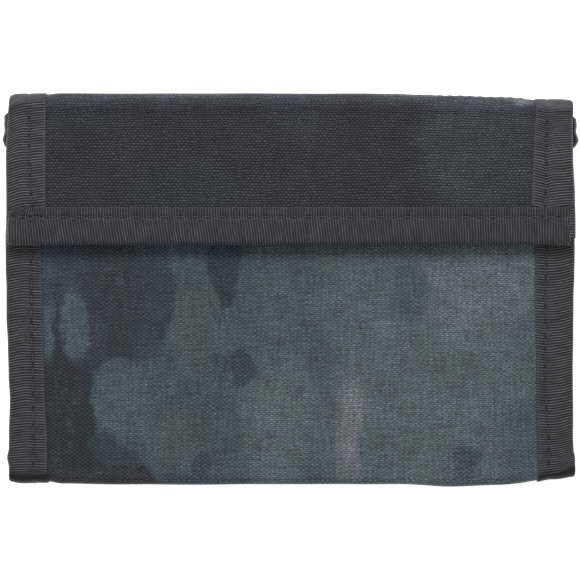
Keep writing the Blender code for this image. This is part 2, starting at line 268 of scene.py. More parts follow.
# Cloth keeps its scale round the closed folds, so patterns follow the run: the length along the closed shell
T_TABLE = np.arange(-145.0, 100.0, 0.05)
_path = fold_up(0.0, T_TABLE, SHELL_OUT)
RUN_TABLE = np.concatenate([[0], np.cumsum(np.linalg.norm(np.diff(_path, axis=0), axis=1))])
RUN_TABLE -= np.interp(0.0, T_TABLE, RUN_TABLE)


def run_at(t):
    return np.interp(t, T_TABLE, RUN_TABLE)


def t_at(run):
    return np.interp(run, RUN_TABLE, T_TABLE)


def profile(base=0.0, front=(), back=(), flap=()):
    """A smooth curve along the strip, as a function of t: base plus the values at its knots. The knots are
    heights on the closed front panel, places on the strip, and heights on the closed flap."""
    low_knots = [(front_t(y), value) for y, value in front]
    high_knots = [(flap_t(y), value) for y, value in flap]
    return lambda t: base + through(t, *low_knots, *back, *high_knots)


def level(value):
    return lambda t: value + 0 * t


# The wallet's half width on each side, which wanders along the strip
left_edge = profile(
    HALF_X,
    front=(
        (39, 0.25), (18, 0.38), (15, 0.47), (11, 0.6), (5, 0.55), (0, 0.38), (-6, 0.38), (-12, 0.08),
        (-19, -0.09), (-24.4, -0.39), (-32, -0.15), (-35.3, -0.13), (-37.6, 0.22), (-40.3, -0.15)
    ),
    back=((T_BOTTOM, -0.35), (-36, -0.3), (-24, -0.6), (10, 0.0), (36, -0.2), (T_TOP, -0.6)),
    flap=((42, -0.5), (38, -0.15), (29, 0.22), (20, 0.15), (14, 0.08))
)
right_edge = profile(
    HALF_X,
    front=(
        (32, 0.0), (17, 0.3), (8, 0.42), (3, 0.33), (-2, 0.15), (-10, 0.1), (-18, 0.0), (-28, 0.08),
        (-33, 0.05), (-36, 0.15), (-38.5, 0.5), (-41.5, 0.55)
    ),
    back=((T_BOTTOM, 0.0), (-20, -0.4), (10, -0.1), (36, -0.35), (T_TOP, -0.25)),
    flap=((41, -0.2), (36, -0.3), (29, -0.2), (20, 0.22), (14, 0.35))
)
# Where each side binding's inner edge lies, as a distance from the middle
left_selvedge = profile(
    front=((10, 54.8), (-8, 54.4), (-20, 54.1), (-34, 53.5)),
    back=((T_BOTTOM, 53.5), (0, 54.0), (T_TOP, 53.6))
)
right_selvedge = profile(
    front=((0, 53.9), (-24, 54.1), (-35, 54.4)), back=((T_BOTTOM, 54.6), (0, 54.0)),
    flap=((42, 53.7), (30, 53.2), (20, 52.8))
)
# Where each side binding is stitched, as a distance from the middle
left_seam = profile(
    front=((10, 57.1), (-10, 56.9), (-20, 56.6)), back=((T_BOTTOM, 56.5), (0, 56.7), (T_TOP, 57.3)),
    flap=((28, 57.25), (22, 56.95), (18, 56.55))
)
right_seam = profile(
    front=((8, 56.3), (0, 56.1), (-18, 56.1), (-24, 56.3), (-33, 56.8)), back=((T_BOTTOM, 56.8), (0, 56.5)),
    flap=((40, 56.25), (30, 56.05), (20, 55.85))
)
# How far the ribs have been dragged along where they go round the edge, and at the tape's inner edge
left_lean = profile(front=[(10, 0.9)], back=((T_BOTTOM, 0.6), (T_TOP, 0.9)), flap=((40, 1.4), (20, 1.3)))
right_lean = profile(back=((T_BOTTOM, -1.1), (0, -0.6)), flap=((40, -0.35), (20, -0.5)))
left_skew = profile(front=[(10, 0.3)], back=((T_BOTTOM, 0.2), (T_TOP, -0.3)))
right_skew = profile(back=((T_BOTTOM, -0.2), (T_TOP, -0.35)))
# How deep the bindings reach: round all layers, which are fewest in the folds
CLOSED_DEPTHS = [
    (T_BOTTOM_HIGH - 1, FOLD_DEPTH), (T_BACK_LOW, FOLD_DEPTH), (T_BACK_LOW + 4, BACK_DEPTH), (27, BACK_DEPTH)
]
left_depth = profile(front=[(-36, FRONT_DEPTH)], back=[*CLOSED_DEPTHS, (T_BACK_HIGH, FLAP_DEPTH)])
right_depth = profile(back=((T_BACK_HIGH - 5, RIGHT_DEPTH), (T_BACK_HIGH, FLAP_DEPTH)))
small_tape_depth = profile(front=[(-36, FRONT_DEPTH)], back=[*CLOSED_DEPTHS, (T_BACK_HIGH - 1, FOLD_DEPTH)])
# The back lining comes down to the shell where it is sewn off below the top fold, and the coin pocket's cloth
# to the lining at the bottom fold
lining_depth = profile(back=((T_BACK_HIGH - 7, LINING_OUT), (T_BACK_HIGH - 1.5, SHELL_IN + SEWN_GAP)))
coin_depth = profile(front=[(-36, COIN_OUT)], back=[(T_BOTTOM_HIGH - 2, LINING_IN + SEWN_GAP)])


# ---------------------------------------------------------------- meshes

def make_mesh(name, points, faces, uv, material, caps=0, holes=None):
    """An object from points in millimetres. faces is a list of arrays, each with its own number of corners;
    the last `caps` of them meet the others at a sharp edge. holes is 1 where a needle went in, 0 elsewhere."""
    points = np.ascontiguousarray(points.reshape(-1, 3) * MM, np.float32)
    corner_count = np.concatenate([np.full(len(f), f.shape[1]) for f in faces])
    corners = np.concatenate([f.ravel() for f in faces]).astype(np.int32)
    starts = np.concatenate([[0], np.cumsum(corner_count)[:-1]]).astype(np.int32)
    mesh = bpy.data.meshes.new(name)
    mesh.vertices.add(len(points))
    mesh.vertices.foreach_set("co", points.ravel())
    mesh.loops.add(len(corners))
    mesh.loops.foreach_set("vertex_index", corners)
    mesh.polygons.add(len(starts))
    mesh.polygons.foreach_set("loop_start", starts)
    mesh.update(calc_edges=True)
    layer = mesh.uv_layers.new(name="cloth")
    layer.data.foreach_set("uv", (uv.reshape(-1, 2)[corners] * MM).astype(np.float32).ravel())
    mesh.shade_smooth()
    if caps:
        kind = np.concatenate([np.full(len(f), i >= len(faces) - caps) for i, f in enumerate(faces)])
        edge_of = np.empty(len(corners), np.int32)
        mesh.loops.foreach_get("edge_index", edge_of)
        touching = np.repeat(kind, corner_count)
        capped, open_side = np.zeros(len(mesh.edges), bool), np.zeros(len(mesh.edges), bool)
        capped[edge_of[touching]] = True
        open_side[edge_of[~touching]] = True
        sharp = mesh.attributes.new("sharp_edge", "BOOLEAN", "EDGE")
        sharp.data.foreach_set("value", capped & open_side)
    # The needle holes, into which the binding tapes paint shade
    if holes is not None:
        pierced = mesh.attributes.new("pierced", "FLOAT", "POINT")
        pierced.data.foreach_set("value", np.ascontiguousarray(holes.ravel(), np.float32))
    mesh.materials.append(material)
    return show(name, mesh)


def show(name, data):
    """A new object, in the scene."""
    thing = bpy.data.objects.new(name, data)
    bpy.context.scene.collection.objects.link(thing)
    return thing


def quads(a, b, c, d):
    return np.stack([a, b, c, d], -1).reshape(-1, 4)


def make_solid(name, outer, inner, uv, material, sharp_ends=True, holes=None):
    """A closed piece of cloth between two grids of points, with walls at its sides and caps on its ends."""
    rows, columns = outer.shape[:2]
    grid = np.arange(rows * columns).reshape(rows, columns)
    under = grid + rows * columns
    faces = [
        quads(grid[:-1, :-1], grid[:-1, 1:], grid[1:, 1:], grid[1:, :-1]),
        quads(under[:-1, :-1], under[1:, :-1], under[1:, 1:], under[:-1, 1:]),
        quads(grid[:-1, 0], grid[1:, 0], under[1:, 0], under[:-1, 0]),
        quads(grid[1:, -1], grid[:-1, -1], under[:-1, -1], under[1:, -1]),
        quads(grid[0, 1:], grid[0, :-1], under[0, :-1], under[0, 1:]),
        quads(grid[-1, :-1], grid[-1, 1:], under[-1, 1:], under[-1, :-1]),
    ]
    points = np.concatenate([outer.reshape(-1, 3), inner.reshape(-1, 3)])
    middle = points.mean(0)
    corner = points[np.concatenate(faces)] - middle
    volume = np.einsum("ij,ij->i", corner[:, 0], np.cross(corner[:, 1], corner[:, 2])).sum()
    volume += np.einsum("ij,ij->i", corner[:, 0], np.cross(corner[:, 2], corner[:, 3])).sum()
    if volume < 0:
        faces = [f[:, ::-1] for f in faces]
    uvs = np.concatenate([uv.reshape(-1, 2)] * 2)
    holes = None if holes is None else np.concatenate([holes.ravel(), 0 * holes.ravel()])
    return make_mesh(name, points, faces, uvs, material, 2 if sharp_ends else 0, holes)


def move_with(piece, follow):
    """Bakes a piece's placement into its mesh where it follows a fold, or makes it ride on a body."""
    if isinstance(follow, Fold):
        follow.follow(piece)
    else:
        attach(piece, follow)


def tubes(name, centres, radius, sides, across, material, follow, on_strip=True):
    """One piece of tubes round lines of points, centres[tube, point], which are strip points or places in
    space. None of the lines runs in the direction across."""
    tangent = np.gradient(centres, axis=1)
    first = np.cross(tangent, np.array(across, float))
    first /= np.linalg.norm(first, axis=-1, keepdims=True)
    second = np.cross(tangent, first)
    second /= np.linalg.norm(second, axis=-1, keepdims=True)
    angle = TURN * np.arange(sides) / sides
    radius = np.broadcast_to(radius, centres.shape[:2])[..., None, None]
    round_it = np.cos(angle)[:, None] * first[..., None, :] + np.sin(angle)[:, None] * second[..., None, :]
    rings = centres[..., None, :] + radius * round_it
    index = np.arange(rings.size // 3).reshape(rings.shape[:3])
    turned = np.roll(index, -1, axis=2)
    walls = quads(index[:, :-1], turned[:, :-1], turned[:, 1:], index[:, 1:])
    ends = [index[:, 0, ::-1], index[:, -1]]
    along = np.linalg.norm(np.diff(centres, axis=1), axis=-1).cumsum(1)
    along = np.concatenate([np.zeros((len(centres), 1)), along], 1)[..., None] + np.zeros(sides)
    uv = np.stack([along, np.broadcast_to(radius[..., 0] * angle, along.shape)], -1)
    piece = make_mesh(name, placed(rings) if on_strip else rings, [walls, *ends], uv, material)
    move_with(piece, follow)
    return piece


# How many points lie across each kind of cloth, and how far from a hinge they lie close together along it
SHELL_COLUMNS, LINING_COLUMNS, PANEL_COLUMNS = 112, 60, 70
NEAR_HINGE = 6.5


def stations(first, last, coarse=1.2, fine=0.4):
    """Runs between two places on the strip, closer together round the folds."""
    hinges = run_at(np.array([T_BACK_LOW, T_BOTTOM_HIGH, T_BACK_HIGH, T_TOP_HIGH]))
    at, end = run_at(first), run_at(last)
    found = [at]
    while at < end:
        at += fine if np.abs(hinges - at).min() < NEAR_HINGE else coarse
        found.append(min(at, end))
    if found[-1] - found[-2] < fine / 2:
        found.pop(-2)
    return np.array(found)


def stretches(first, last):
    """(zone, fold, start, end) for each zone that a stretch of the strip runs through."""
    for zone, (fold, start, end) in ZONES.items():
        start, end = max(first, start), min(last, end)
        if end - start > 1e-6:
            yield zone, fold, start, end


def cloth(name, material, first, last, left, right, outer, inner, columns, relief=None):
    """One sheet of cloth. left, right, outer and inner are numbers, or functions of t."""
    value = lambda what, t: what(t) if callable(what) else np.full_like(t, what)
    run = stations(first, last)[:, None]
    t = t_at(run)
    share = np.linspace(0, 1, columns)[None, :]
    x = value(left, t) + (value(right, t) - value(left, t)) * share
    t, run = np.broadcast_to(t, x.shape), np.broadcast_to(run, x.shape)
    rise = relief(x, run) if relief else 0.0
    uv = np.stack([x, run], -1)
    top, under = place(x, t, value(outer, t) - rise), place(x, t, value(inner, t))
    piece = make_solid(name, top, under, uv, material)
    return piece


def panel(node, word, material, slot, follow, first, last, left, right, outer, inner, columns=PANEL_COLUMNS):
    """A sheet that is sewn down along its sides and stands for one node."""
    piece = cloth(f"{node}_{word}", material, first, last, left, right, outer, inner, columns)
    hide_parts(node)
    move_with(piece, follow)
    (right - left) * MM
    (last - first) * MM


def long_cloth(
    name, material, first, last, left, right, outer, inner, columns, nodes, bodies, relief=None
):
    """A sheet that runs round the folds, cut where it follows one body alone. It stands for the nodes of that
    name on those bodies."""
    for zone, fold, start, end in stretches(first, last):
        part = f"{name}_{zone}"
        piece = cloth(part, material, start, end, left, right, outer, inner, columns, relief)
        fold.follow(piece)
        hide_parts(*[f"{nodes}_{body}" for body in fold.bodies if body in bodies])


# ---------------------------------------------------------------- binding tape

# Grosgrain tape: its ribs' pitch and height, its thickness, and the radius that it turns round an edge with
RIB, RIB_HEIGHT = 0.59, 0.065
TAPE = 0.35
TAPE_ROUND = 1.15
# Stitches: their pitch, the length and pitch of the back-tacks at a row's ends, the thread's radius, the
# groove that it pulls in the cloth, and how much of each pitch shows
STITCH_PITCH = 3.1
TACK, TACK_PITCH = 7.0, 1.6
THREAD = 0.13
GROOVE = 0.14
STITCH_SHARE = 0.76
LEG_STEPS = 8
ARC_STEPS = 4


class Section:
    """The line that a tape takes round an edge: a leg, a turn, the edge, a turn and the other leg.

    It is worked out for each row of points along the tape, from columns of depths, widths and stitch lines. u
    is the distance in from the edge, and normal_u and normal_d the way out of the tape."""

    def __init__(self, first, last, width, stitch, turn=TAPE_ROUND):
        radius = np.minimum(turn, (last - first) / 2 - 0.01)
        groove = np.array([0.7, 0.4, 0.2, 0, -0.2, -0.4, -0.7])
        leg = lambda steps: (stitch - 1.2) + (2.5 - stitch) * np.linspace(0, 1, steps)
        out = np.hstack([width, width - 0.12, width - 0.35, stitch + groove, leg(LEG_STEPS)])
        back = np.hstack([leg(3)[:, ::-1], stitch - groove, width - 0.35, width])
        angle = np.linspace(0, QUARTER, ARC_STEPS + 1)
        self.u = np.hstack([out, radius * (1 - np.sin(angle)), 0 * first, radius * (1 - np.cos(angle)), back])
        self.d = np.hstack([
            first + 0 * out, first + radius * (1 - np.cos(angle)), (first + last) / 2,
            last - radius * (1 - np.sin(angle)), last + 0 * back
        ])
        flat_out, flat_back = np.zeros(out.shape[1]), np.zeros(back.shape[1])
        self.normal_u = np.concatenate([flat_out, -np.sin(angle), [-1], -np.cos(angle), flat_back])
        self.normal_d = np.concatenate([flat_out - 1, -np.cos(angle), [0], np.sin(angle), flat_back + 1])
        step = np.hypot(np.diff(self.u[0]), np.diff(self.d[0]))
        self.across = np.concatenate([[0], np.cumsum(step)])
        self.width, self.stitch = width, stitch

    def relief(self):
        """The groove that the stitches pull in, the swell beside it and the bead along the selvedge."""
        groove = -GROOVE * bell(self.u - self.stitch, 0.32)
        puff = 0.1 * np.clip(1 - (2 * self.u / self.stitch - 1) ** 2, 0, 1)
        bead = 0.05 * bell(self.u - self.width + 0.3, 0.22)
        edge = -0.08 * smooth(self.u, self.width - 0.15, self.width)
        return groove + puff + bead + edge

    def wander(self, along):
        """How far the ribs stray along the tape, as woven ribs do."""
        return 0.07 * np.sin(0.83 * along + 0.9 * self.u) * np.sin(0.29 * along - 0.5 * self.u)

    def cloth_places(self, along):
        """Where each point lies on the flat tape: along it, and across it from its outer selvedge."""
        return np.stack(np.broadcast_arrays(along, self.across), -1)

    def ribbed(self):
        """How much of the ribs shows: they fade at the selvedge and are stretched smooth round the edge."""
        return np.clip(3 * (self.width - self.u), 0, 1) * (0.25 + 0.75 * smooth(self.u, 0.1, 0.9))

    def holes(self, along, first, last, pitch=STITCH_PITCH):
        """1 at the ends of the stitches that run from first to last, and 0 away from them."""
        pitch = (last - first) / stitch_count(first, last, pitch)
        starts, ends = along - first, along - first - STITCH_SHARE * pitch
        near = np.minimum.reduce([starts % pitch, -starts % pitch, ends % pitch, -ends % pitch])
        far = np.hypot(near / 0.28, (self.u - self.stitch) / 0.3)
        return bell(far, 1.0) * (along > first) * (along < last)

    def gathers(self, along, first, last):
        """The tape rises between the stitches and is pulled down under them."""
        pitch = (last - first) / stitch_count(first, last, STITCH_PITCH)
        wave = np.cos(TURN * ((along - first) / pitch - (1 + STITCH_SHARE) / 2))
        return 0.09 * wave * bell(self.u - self.stitch, 0.8) * (along > first) * (along < last)


def ribs(first, last):
    """A column of places along a tape, four to each rib, with one on each crest and one at each end."""
    along = np.arange(math.ceil(first / RIB * 4), math.floor(last / RIB * 4) + 1) * RIB / 4
    along[0], along[-1] = first, last
    return along[:, None]


def rib_rise(along):
    return RIB_HEIGHT * np.cos(TURN * along / RIB)


# The stretches of the side bindings that wear has pressed flat, on the top and bottom folds, as runs. The
# bottom one is also painted darker as painted shade, and from the top one the binding's painted shade gives
# way to full light on the flap
WORN_TOP = float(run_at(T_BACK_HIGH)), float(run_at(flap_t(40.6)))
WORN_AND_SHADED_BOTTOM = float(run_at(front_t(-41.2))), float(run_at(T_BACK_LOW))


def pressed(run):
    """How flat wear has pressed the ribs."""
    top, top_end = WORN_TOP[0] - 1.0, WORN_TOP[1]
    bottom, bottom_end = WORN_AND_SHADED_BOTTOM[0], WORN_AND_SHADED_BOTTOM[1] + 1.0
    on_top = smooth(run, top - 1.5, top) * (1 - smooth(run, top_end - 0.7, top_end + 0.7))
    return on_top + smooth(run, bottom - 0.7, bottom + 0.7) * (1 - smooth(run, bottom_end, bottom_end + 1.5))


def side_tape(name, side, first, last, edge, near, deep, selvedge, seam_line, drags, material, fold):
    """Binding round a side edge. drags are how far the ribs have been dragged along where they go round the
    edge, at the stitches and at the selvedge."""
    along = ribs(run_at(first), run_at(last))
    middle = t_at(along)
    width = edge(middle) - selvedge(middle)
    stitch = edge(middle) - seam_line(middle)
    section = Section(near(middle), deep(middle), width, stitch, TAPE_ROUND - 0.6 * pressed(along))
    outside = np.clip(1 - section.u / stitch, 0, 1) ** 2 - 0.5
    at_seam = bell(section.u - stitch, 0.9)
    inside = np.clip((section.u - stitch) / (width - stitch), 0, 1)
    lean, dip, skew = (drag(middle) for drag in drags)
    run = along + lean * outside + dip * at_seam + skew * inside + section.wander(along)
    t = t_at(run)
    flat = 1 - 0.85 * pressed(run)
    seams = [run_at(np.array(part)) for part in sewn(first, last)]
    rise = section.relief() + rib_rise(along) * flat * section.ribbed()
    rise = rise + sum(section.gathers(run, *seam) for seam in seams)
    layers = []
    for out in (rise, -TAPE + 0 * rise):
        x = side * (edge(t) - section.u - section.normal_u * out)
        layers.append(place(x, t, section.d + section.normal_d * out))
    holes = sum(section.holes(run, *seam) for seam in seams)
    piece = make_solid(name, *layers, section.cloth_places(along), material, holes=holes)
    fold.follow(piece)
    return piece


def edge_tape(name, left, right, edge_t, way, near, deep, width, stitch, lean, material, ends):
    """Binding over an edge that runs along X. way is +1 where the cloth lies at larger t than its edge.

    ends(x, section) gives how far the tape's ends are drawn along and tucked down."""
    along = ribs(left, right)
    section = Section(*(value + 0 * along for value in (near, deep, width, stitch)))
    slack = through(along, (-HALF_X, 0.0), (8 - HALF_X, 1.0), (15, 0.8), (HALF_X - 12, 0.1), (HALF_X, 0.0))
    drag = lean * (np.clip(1 - section.u / stitch, 0, 1) - 0.3) * slack
    pull, tuck = ends(along, section)
    x = along + drag + pull + section.wander(along)
    start, end = seam_span(left, right)
    rise = section.relief() + rib_rise(along) * section.ribbed() - tuck + section.gathers(x, start, end)
    layers = []
    for out in (rise, -TAPE - tuck + 0 * rise):
        t = edge_t + way * (section.u + section.normal_u * out)
        layers.append(place(x, t, section.d + section.normal_d * out))
    # Needle holes, where the binding paints shade: half strength along the row and at the closing back-tack,
    # full at the opening one
    holes = 0.5 * section.holes(x, start, end)
    holes = holes + section.holes(x, start, start + TACK, TACK_PITCH)
    holes = holes + 0.5 * section.holes(x, end - TACK, end, TACK_PITCH)
    piece = make_solid(name, *layers, section.cloth_places(along), material, sharp_ends=False, holes=holes)
    return piece


def sewn(first, last):
    """The stretches between two places on the strip where a side binding's stitches show. None do on the
    tight bends beside the front and the flap."""
    bends = ((front_t(-39.6), T_BOTTOM_HIGH + 2), (T_TOP_HIGH - 2, flap_t(40.2)))
    found = []
    for start, end in bends:
        if first < start < last:
            found.append((first, start))
            first = end
    return [*found, (first, last)]


def seam_span(left, right, inset=2.2):
    """Where the stitching of an edge tape starts and stops."""
    return left + inset, right - inset


# ---------------------------------------------------------------- thread

THREAD_POINTS = 7
THREAD_SIDES = 6
# How far a stitch slips and slants sideways, and how deep its ends go
SLIP, TILT, BURIED = 0.07, 0.06, 0.3
RNG = np.random.default_rng(11)


def stitch_count(first, last, pitch):
    return max(1, int((last - first) / pitch))


def stitches(first, last, height, pitch=STITCH_PITCH):
    """A row of stitches, as lines of (along, sideways, height) points, with the slips of real sewing."""
    count = stitch_count(first, last, pitch)
    starts = np.linspace(first, last, count, endpoint=False)
    ends = starts + STITCH_SHARE * (last - first) / count
    slip = RNG.uniform(-SLIP, SLIP, (2, count))
    starts, ends = np.stack([starts, slip[0] - TILT], -1), np.stack([ends, slip[1] + TILT], -1)
    share = np.linspace(0, 1, THREAD_POINTS)[None, :, None]
    flat = starts[:, None] + (ends - starts)[:, None] * share
    arch = 1 - np.abs(2 * share[..., 0] - 1) ** 3
    rise = height - BURIED + (BURIED + 0.5 * THREAD) * arch + 0 * flat[..., 0]
    return np.concatenate([flat, rise[..., None]], -1)


class Sewing:
    """Collects stitches as strip points, and makes them one object that rides on a body, or is baked in place
    for a fold.
    """

    def __init__(self, name):
        self.name, self.lines = name, []

    def down(self, x, first, last, depth, face, **kind):
        """A row along the strip at x(t), on cloth at depth(t). face is -1 on its outer side and 1 inside."""
        line = stitches(run_at(first), run_at(last), THREAD - GROOVE, **kind)
        t = t_at(line[..., 0])
        self.lines.append(np.stack([x(t) + line[..., 1], t, depth(t) + face * line[..., 2]], -1))

    def over(self, t, first, last, depth, face, sink=GROOVE, **kind):
        """A row along X at t."""
        line = stitches(first, last, THREAD - sink, **kind)
        self.lines.append(np.stack([line[..., 0], t + line[..., 1], depth + face * line[..., 2]], -1))

    def make(self, follow):
        lines = np.concatenate(self.lines)
        tubes(self.name, lines, THREAD, THREAD_SIDES, (0, 0, 1), THREAD_DARK, follow)


# ---------------------------------------------------------------- materials


class Wire:
    """A node's output. Its sums and products with numbers or with other outputs are made by Math nodes."""

    def __init__(self, paint, socket):
        self.paint, self.socket = paint, socket

    def __add__(self, other):
        return self.paint.math("ADD", self, other)

    def __sub__(self, other):
        return self.paint.math("SUBTRACT", self, other)

    def __rsub__(self, other):
        return self.paint.math("SUBTRACT", other, self)

    def __mul__(self, other):
        return self.paint.math("MULTIPLY", self, other)

    def __truediv__(self, other):
        return self.paint.math("DIVIDE", self, other)


class Paint:
    """Builds the nodes of one material. Node inputs take a number, a colour or another node's output."""

    def __init__(self, name, roughness, metallic=0.0, sheen=0.0, specular=0.5):
        self.material = bpy.data.materials.new(name)
        self.material.use_nodes = True
        self.tree = self.material.node_tree
        self.shader = self.tree.nodes["Principled BSDF"]
        for socket, value in (
            ("Roughness", roughness), ("Metallic", metallic), ("Specular IOR Level", specular),
            ("Sheen Weight", sheen), ("Sheen Roughness", 0.4)
        ):
            self.shader.inputs[socket].default_value = value

    def put(self, value, socket):
        if isinstance(value, Wire):
            self.tree.links.new(value.socket, socket)
        elif socket.type == "RGBA":
            socket.default_value = (*value, 1.0)
        else:
            socket.default_value = value

    def node(self, kind, inputs=(), output=0, **settings):
        """An output of a new node. inputs go to its sockets in order, or by number or name in a dict."""
        made = self.tree.nodes.new(kind)
        for key, value in settings.items():
            setattr(made, key, value)
        for socket, value in inputs.items() if isinstance(inputs, dict) else enumerate(inputs):
            self.put(value, made.inputs[socket])
        return Wire(self, made.outputs[output])

    def math(self, operation, *values):
        return self.node("ShaderNodeMath", values, operation=operation)

    def ramp(self, value, start, end, first=0.0, last=1.0):
        inputs = value, start, end, first, last
        return self.node("ShaderNodeMapRange", inputs, interpolation_type="SMOOTHSTEP")

    def vary(self, value, start, by):
        """A factor from 1 - by to 1 + by, as value goes from start to 1 - start."""
        return self.ramp(value, start, 1 - start, 1 - by, 1 + by)

    def mix(self, share, a, b):
        inputs = {"Factor": share, 6: a, 7: b}
        return self.node("ShaderNodeMix", inputs, 2, data_type="RGBA", clamp_factor=True)

    def scaled(self, colour, factor):
        return self.node("ShaderNodeVectorMath", {0: colour, "Scale": factor}, operation="SCALE")

    def vector(self, x, y, z=0.0):
        return self.node("ShaderNodeCombineXYZ", (x, y, z))

    def noise(self, vector, scale, detail=2.0, roughness=0.5):
        inputs = {"Vector": vector, "Scale": scale, "Detail": detail, "Roughness": roughness}
        return self.node("ShaderNodeTexNoise", inputs, "Fac")

    def streaks(self, x, y, wide, tall):
        """Noise in streaks of about this width and length."""
        return self.noise(self.vector(x / wide, y / tall), 1.0, 1.0)

    def cloth(self):
        """The cloth's own coordinates, in millimetres."""
        uv = self.node("ShaderNodeUVMap", uv_map="cloth")
        return [self.node("ShaderNodeSeparateXYZ", (uv,), axis) * 1000.0 for axis in (0, 1)]

    def space(self):
        """Object coordinates in millimetres, for pieces that stay rigid."""
        return self.scaled(self.node("ShaderNodeTexCoord", output="Object"), 1000.0)

    def bump(self, height, distance, strength=1.0):
        inputs = {"Height": height, "Distance": distance * MM, "Strength": strength}
        self.put(self.node("ShaderNodeBump", inputs), self.shader.inputs["Normal"])

    def colour(self, colour):
        self.put(colour, self.shader.inputs["Base Color"])
        return self.material


# The cloth's own lightness, as a share of how light it looks under the studio light
GAIN = 0.68


def dye(red, green, blue):
    """The cloth's own linear colour, from its sRGB colour under the studio light."""
    levels = [c / 255 for c in (red, green, blue)]
    return tuple(GAIN * (v / 12.92 if v < 0.04045 else ((v + 0.055) / 1.055) ** 2.4) for v in levels)


def plain_weave(paint, x, y, pitch_x, pitch_y):
    """(height, rows, dots) of a plain weave: its relief, its crossways threads, and the spots where they
    cross over the others."""
    a, b = paint.math("COSINE", x * (math.pi / pitch_x)), paint.math("COSINE", y * (math.pi / pitch_y))
    crossing = a * b
    half = crossing * 0.5
    across, down = paint.math("ABSOLUTE", a), paint.math("ABSOLUTE", b)
    height = paint.math("MAXIMUM", across * (half + 0.5), down * (0.5 - half))
    return height, down * down, paint.ramp(crossing, -0.35, 0.95)


# The print's colours
SLATE = dye(75, 90, 96)
CHARCOAL = dye(55, 61, 67)
BROWN = dye(51, 53, 59)
NAVY = dye(60, 72, 83)
DEEP_NAVY = dye(51, 64, 72)
DARK_TEAL = dye(59, 70, 79)
SEA = dye(83, 99, 107)
MIST = dye(111, 119, 124)
PALE = dye(97, 110, 113)
BLUE_MIST = dye(92, 104, 114)
OLIVE = dye(86, 96, 94)
PLUM = dye(122, 125, 131)
VIOLET = dye(74, 80, 95)
SPARK = dye(120, 136, 140)
FLAP_BASE = dye(52, 53, 59)
FLAP_BLUE = dye(67, 72, 78)
FLAP_TEAL = dye(50, 60, 65)

# The print, as soft blots: x, y on the closed wallet, half width, half height, turn in degrees, colour,
# strength and softness of the rim
FRONT_PRINT = (
    (30, -19, 30, 30, 0, PALE, 0.92, 0.6),
    (42, 1, 13, 9, 10, MIST, 0.8, 0.5),
    (-3, -30, 7, 14, -8, PALE, 1.0, 0.5),
    (-21, -9, 4.2, 9.5, 4, OLIVE, 0.6, 0.5),
    (-25, -33, 7, 7, 30, OLIVE, 0.5, 0.6),
    (13.3, -31, 3.0, 11, -3, PLUM, 0.9, 0.45),
    (21.5, -13.5, 5, 5, 0, BLUE_MIST, 0.6, 0.5),
    (26, -1.0, 3.8, 7.2, -6, SLATE, 0.8, 0.4),
    (4.3, -11, 3.6, 4.8, 20, NAVY, 0.38, 0.6),
    (7.2, -17, 3.0, 4.2, -15, NAVY, 0.3, 0.6),
    (53, -33, 6, 9, 0, SLATE, 0.6, 0.5),
    (-40, -1, 14.2, 17.2, 0, CHARCOAL, 1.0, 0.06),
    (-51.5, -27, 8.8, 18, -4, BROWN, 1.0, 0.08),
    (-45, -40.8, 15.5, 6.0, -8, BROWN, 1.0, 0.08),
    (-38.3, -35.0, 6.2, 3.7, -8, DARK_TEAL, 1.0, 0.16),
    (-37.2, -24.0, 6.5, 8.8, 14, SEA, 0.76, 0.09),
    (-34, -32.5, 3.6, 5.5, 35, SEA, 0.7, 0.3),
    (-29.8, 3, 3.6, 11, 8, NAVY, 0.85, 0.35),
    (-31.8, -11.6, 3.1, 4.2, 25, NAVY, 0.8, 0.35),
    (-50.5, 6, 5.6, 6, 0, NAVY, 0.85, 0.4),
    (-43.5, -9, 3.2, 9, 0, NAVY, 0.4, 0.6),
    (-47.4, -8.0, 3.1, 7.9, 3, SEA, 0.95, 0.24),
    (-53.3, 3.5, 1.3, 2.0, 0, SEA, 0.5, 0.6),
    (-53.4, -5.0, 1.5, 2.6, 0, SEA, 0.8, 0.6),
    (-53.6, -11.5, 1.6, 3.4, 0, SEA, 0.8, 0.5),
    (-53.5, -1, 1.6, 4.0, 0, NAVY, 0.8, 0.4),
    (-14.6, 6, 3.7, 7.8, -3, DEEP_NAVY, 0.95, 0.14),
    (-13.8, -1.0, 1.8, 3.2, 0, DEEP_NAVY, 0.85, 0.25),
    (-15.0, -16.4, 3.0, 1.5, -18, NAVY, 0.8, 0.3),
    (-10.6, -16.9, 2.5, 3.6, 12, NAVY, 1.0, 0.14),
    (-11.2, -20, 2.2, 1.9, 40, NAVY, 0.9, 0.2),
    (-19.6, -38.9, 2.2, 3.3, -18, NAVY, 0.95, 0.2),
    (43, -37, 5, 6, 0, BLUE_MIST, 0.5, 0.5),
    (39, -36.2, 3.1, 1.8, 0, NAVY, 0.75, 0.3),
    (38.2, -39.4, 2.0, 2.4, 0, NAVY, 0.5, 0.4),
)
FLAP_PRINT = (
    (41.5, 31, 13.5, 13, 0, FLAP_BLUE, 0.85, 0.25),
    (48, 26, 8, 10, 0, FLAP_TEAL, 0.45, 0.5),
    (-23, 22, 10, 4.5, 6, FLAP_TEAL, 0.6, 0.5),
    (-47, 39.4, 8, 3.2, 0, FLAP_TEAL, 0.6, 0.5),
    (2, 36, 9, 5, 0, FLAP_BLUE, 0.25, 0.6),
    (51.2, 41.6, 1.7, 0.8, 0, SPARK, 0.5, 0.7),
    (48.6, 42.4, 2.4, 0.9, 0, SEA, 0.6, 0.5),
)


def blot(paint, ground, where, spec, run):
    """One soft-edged shape of the print on what lies under it."""
    x, _, wide, tall, turn, colour, strength, softness = spec
    inputs = (where, (x, run, 0), (0, 0, -math.radians(turn)), (wide, tall, 1))
    fit = paint.node("ShaderNodeMapping", inputs, vector_type="TEXTURE")
    far = paint.node("ShaderNodeVectorMath", (fit,), "Value", operation="LENGTH")
    return paint.mix(paint.ramp(far, 1 - softness, 1 + softness, strength, 0.0), ground, colour)


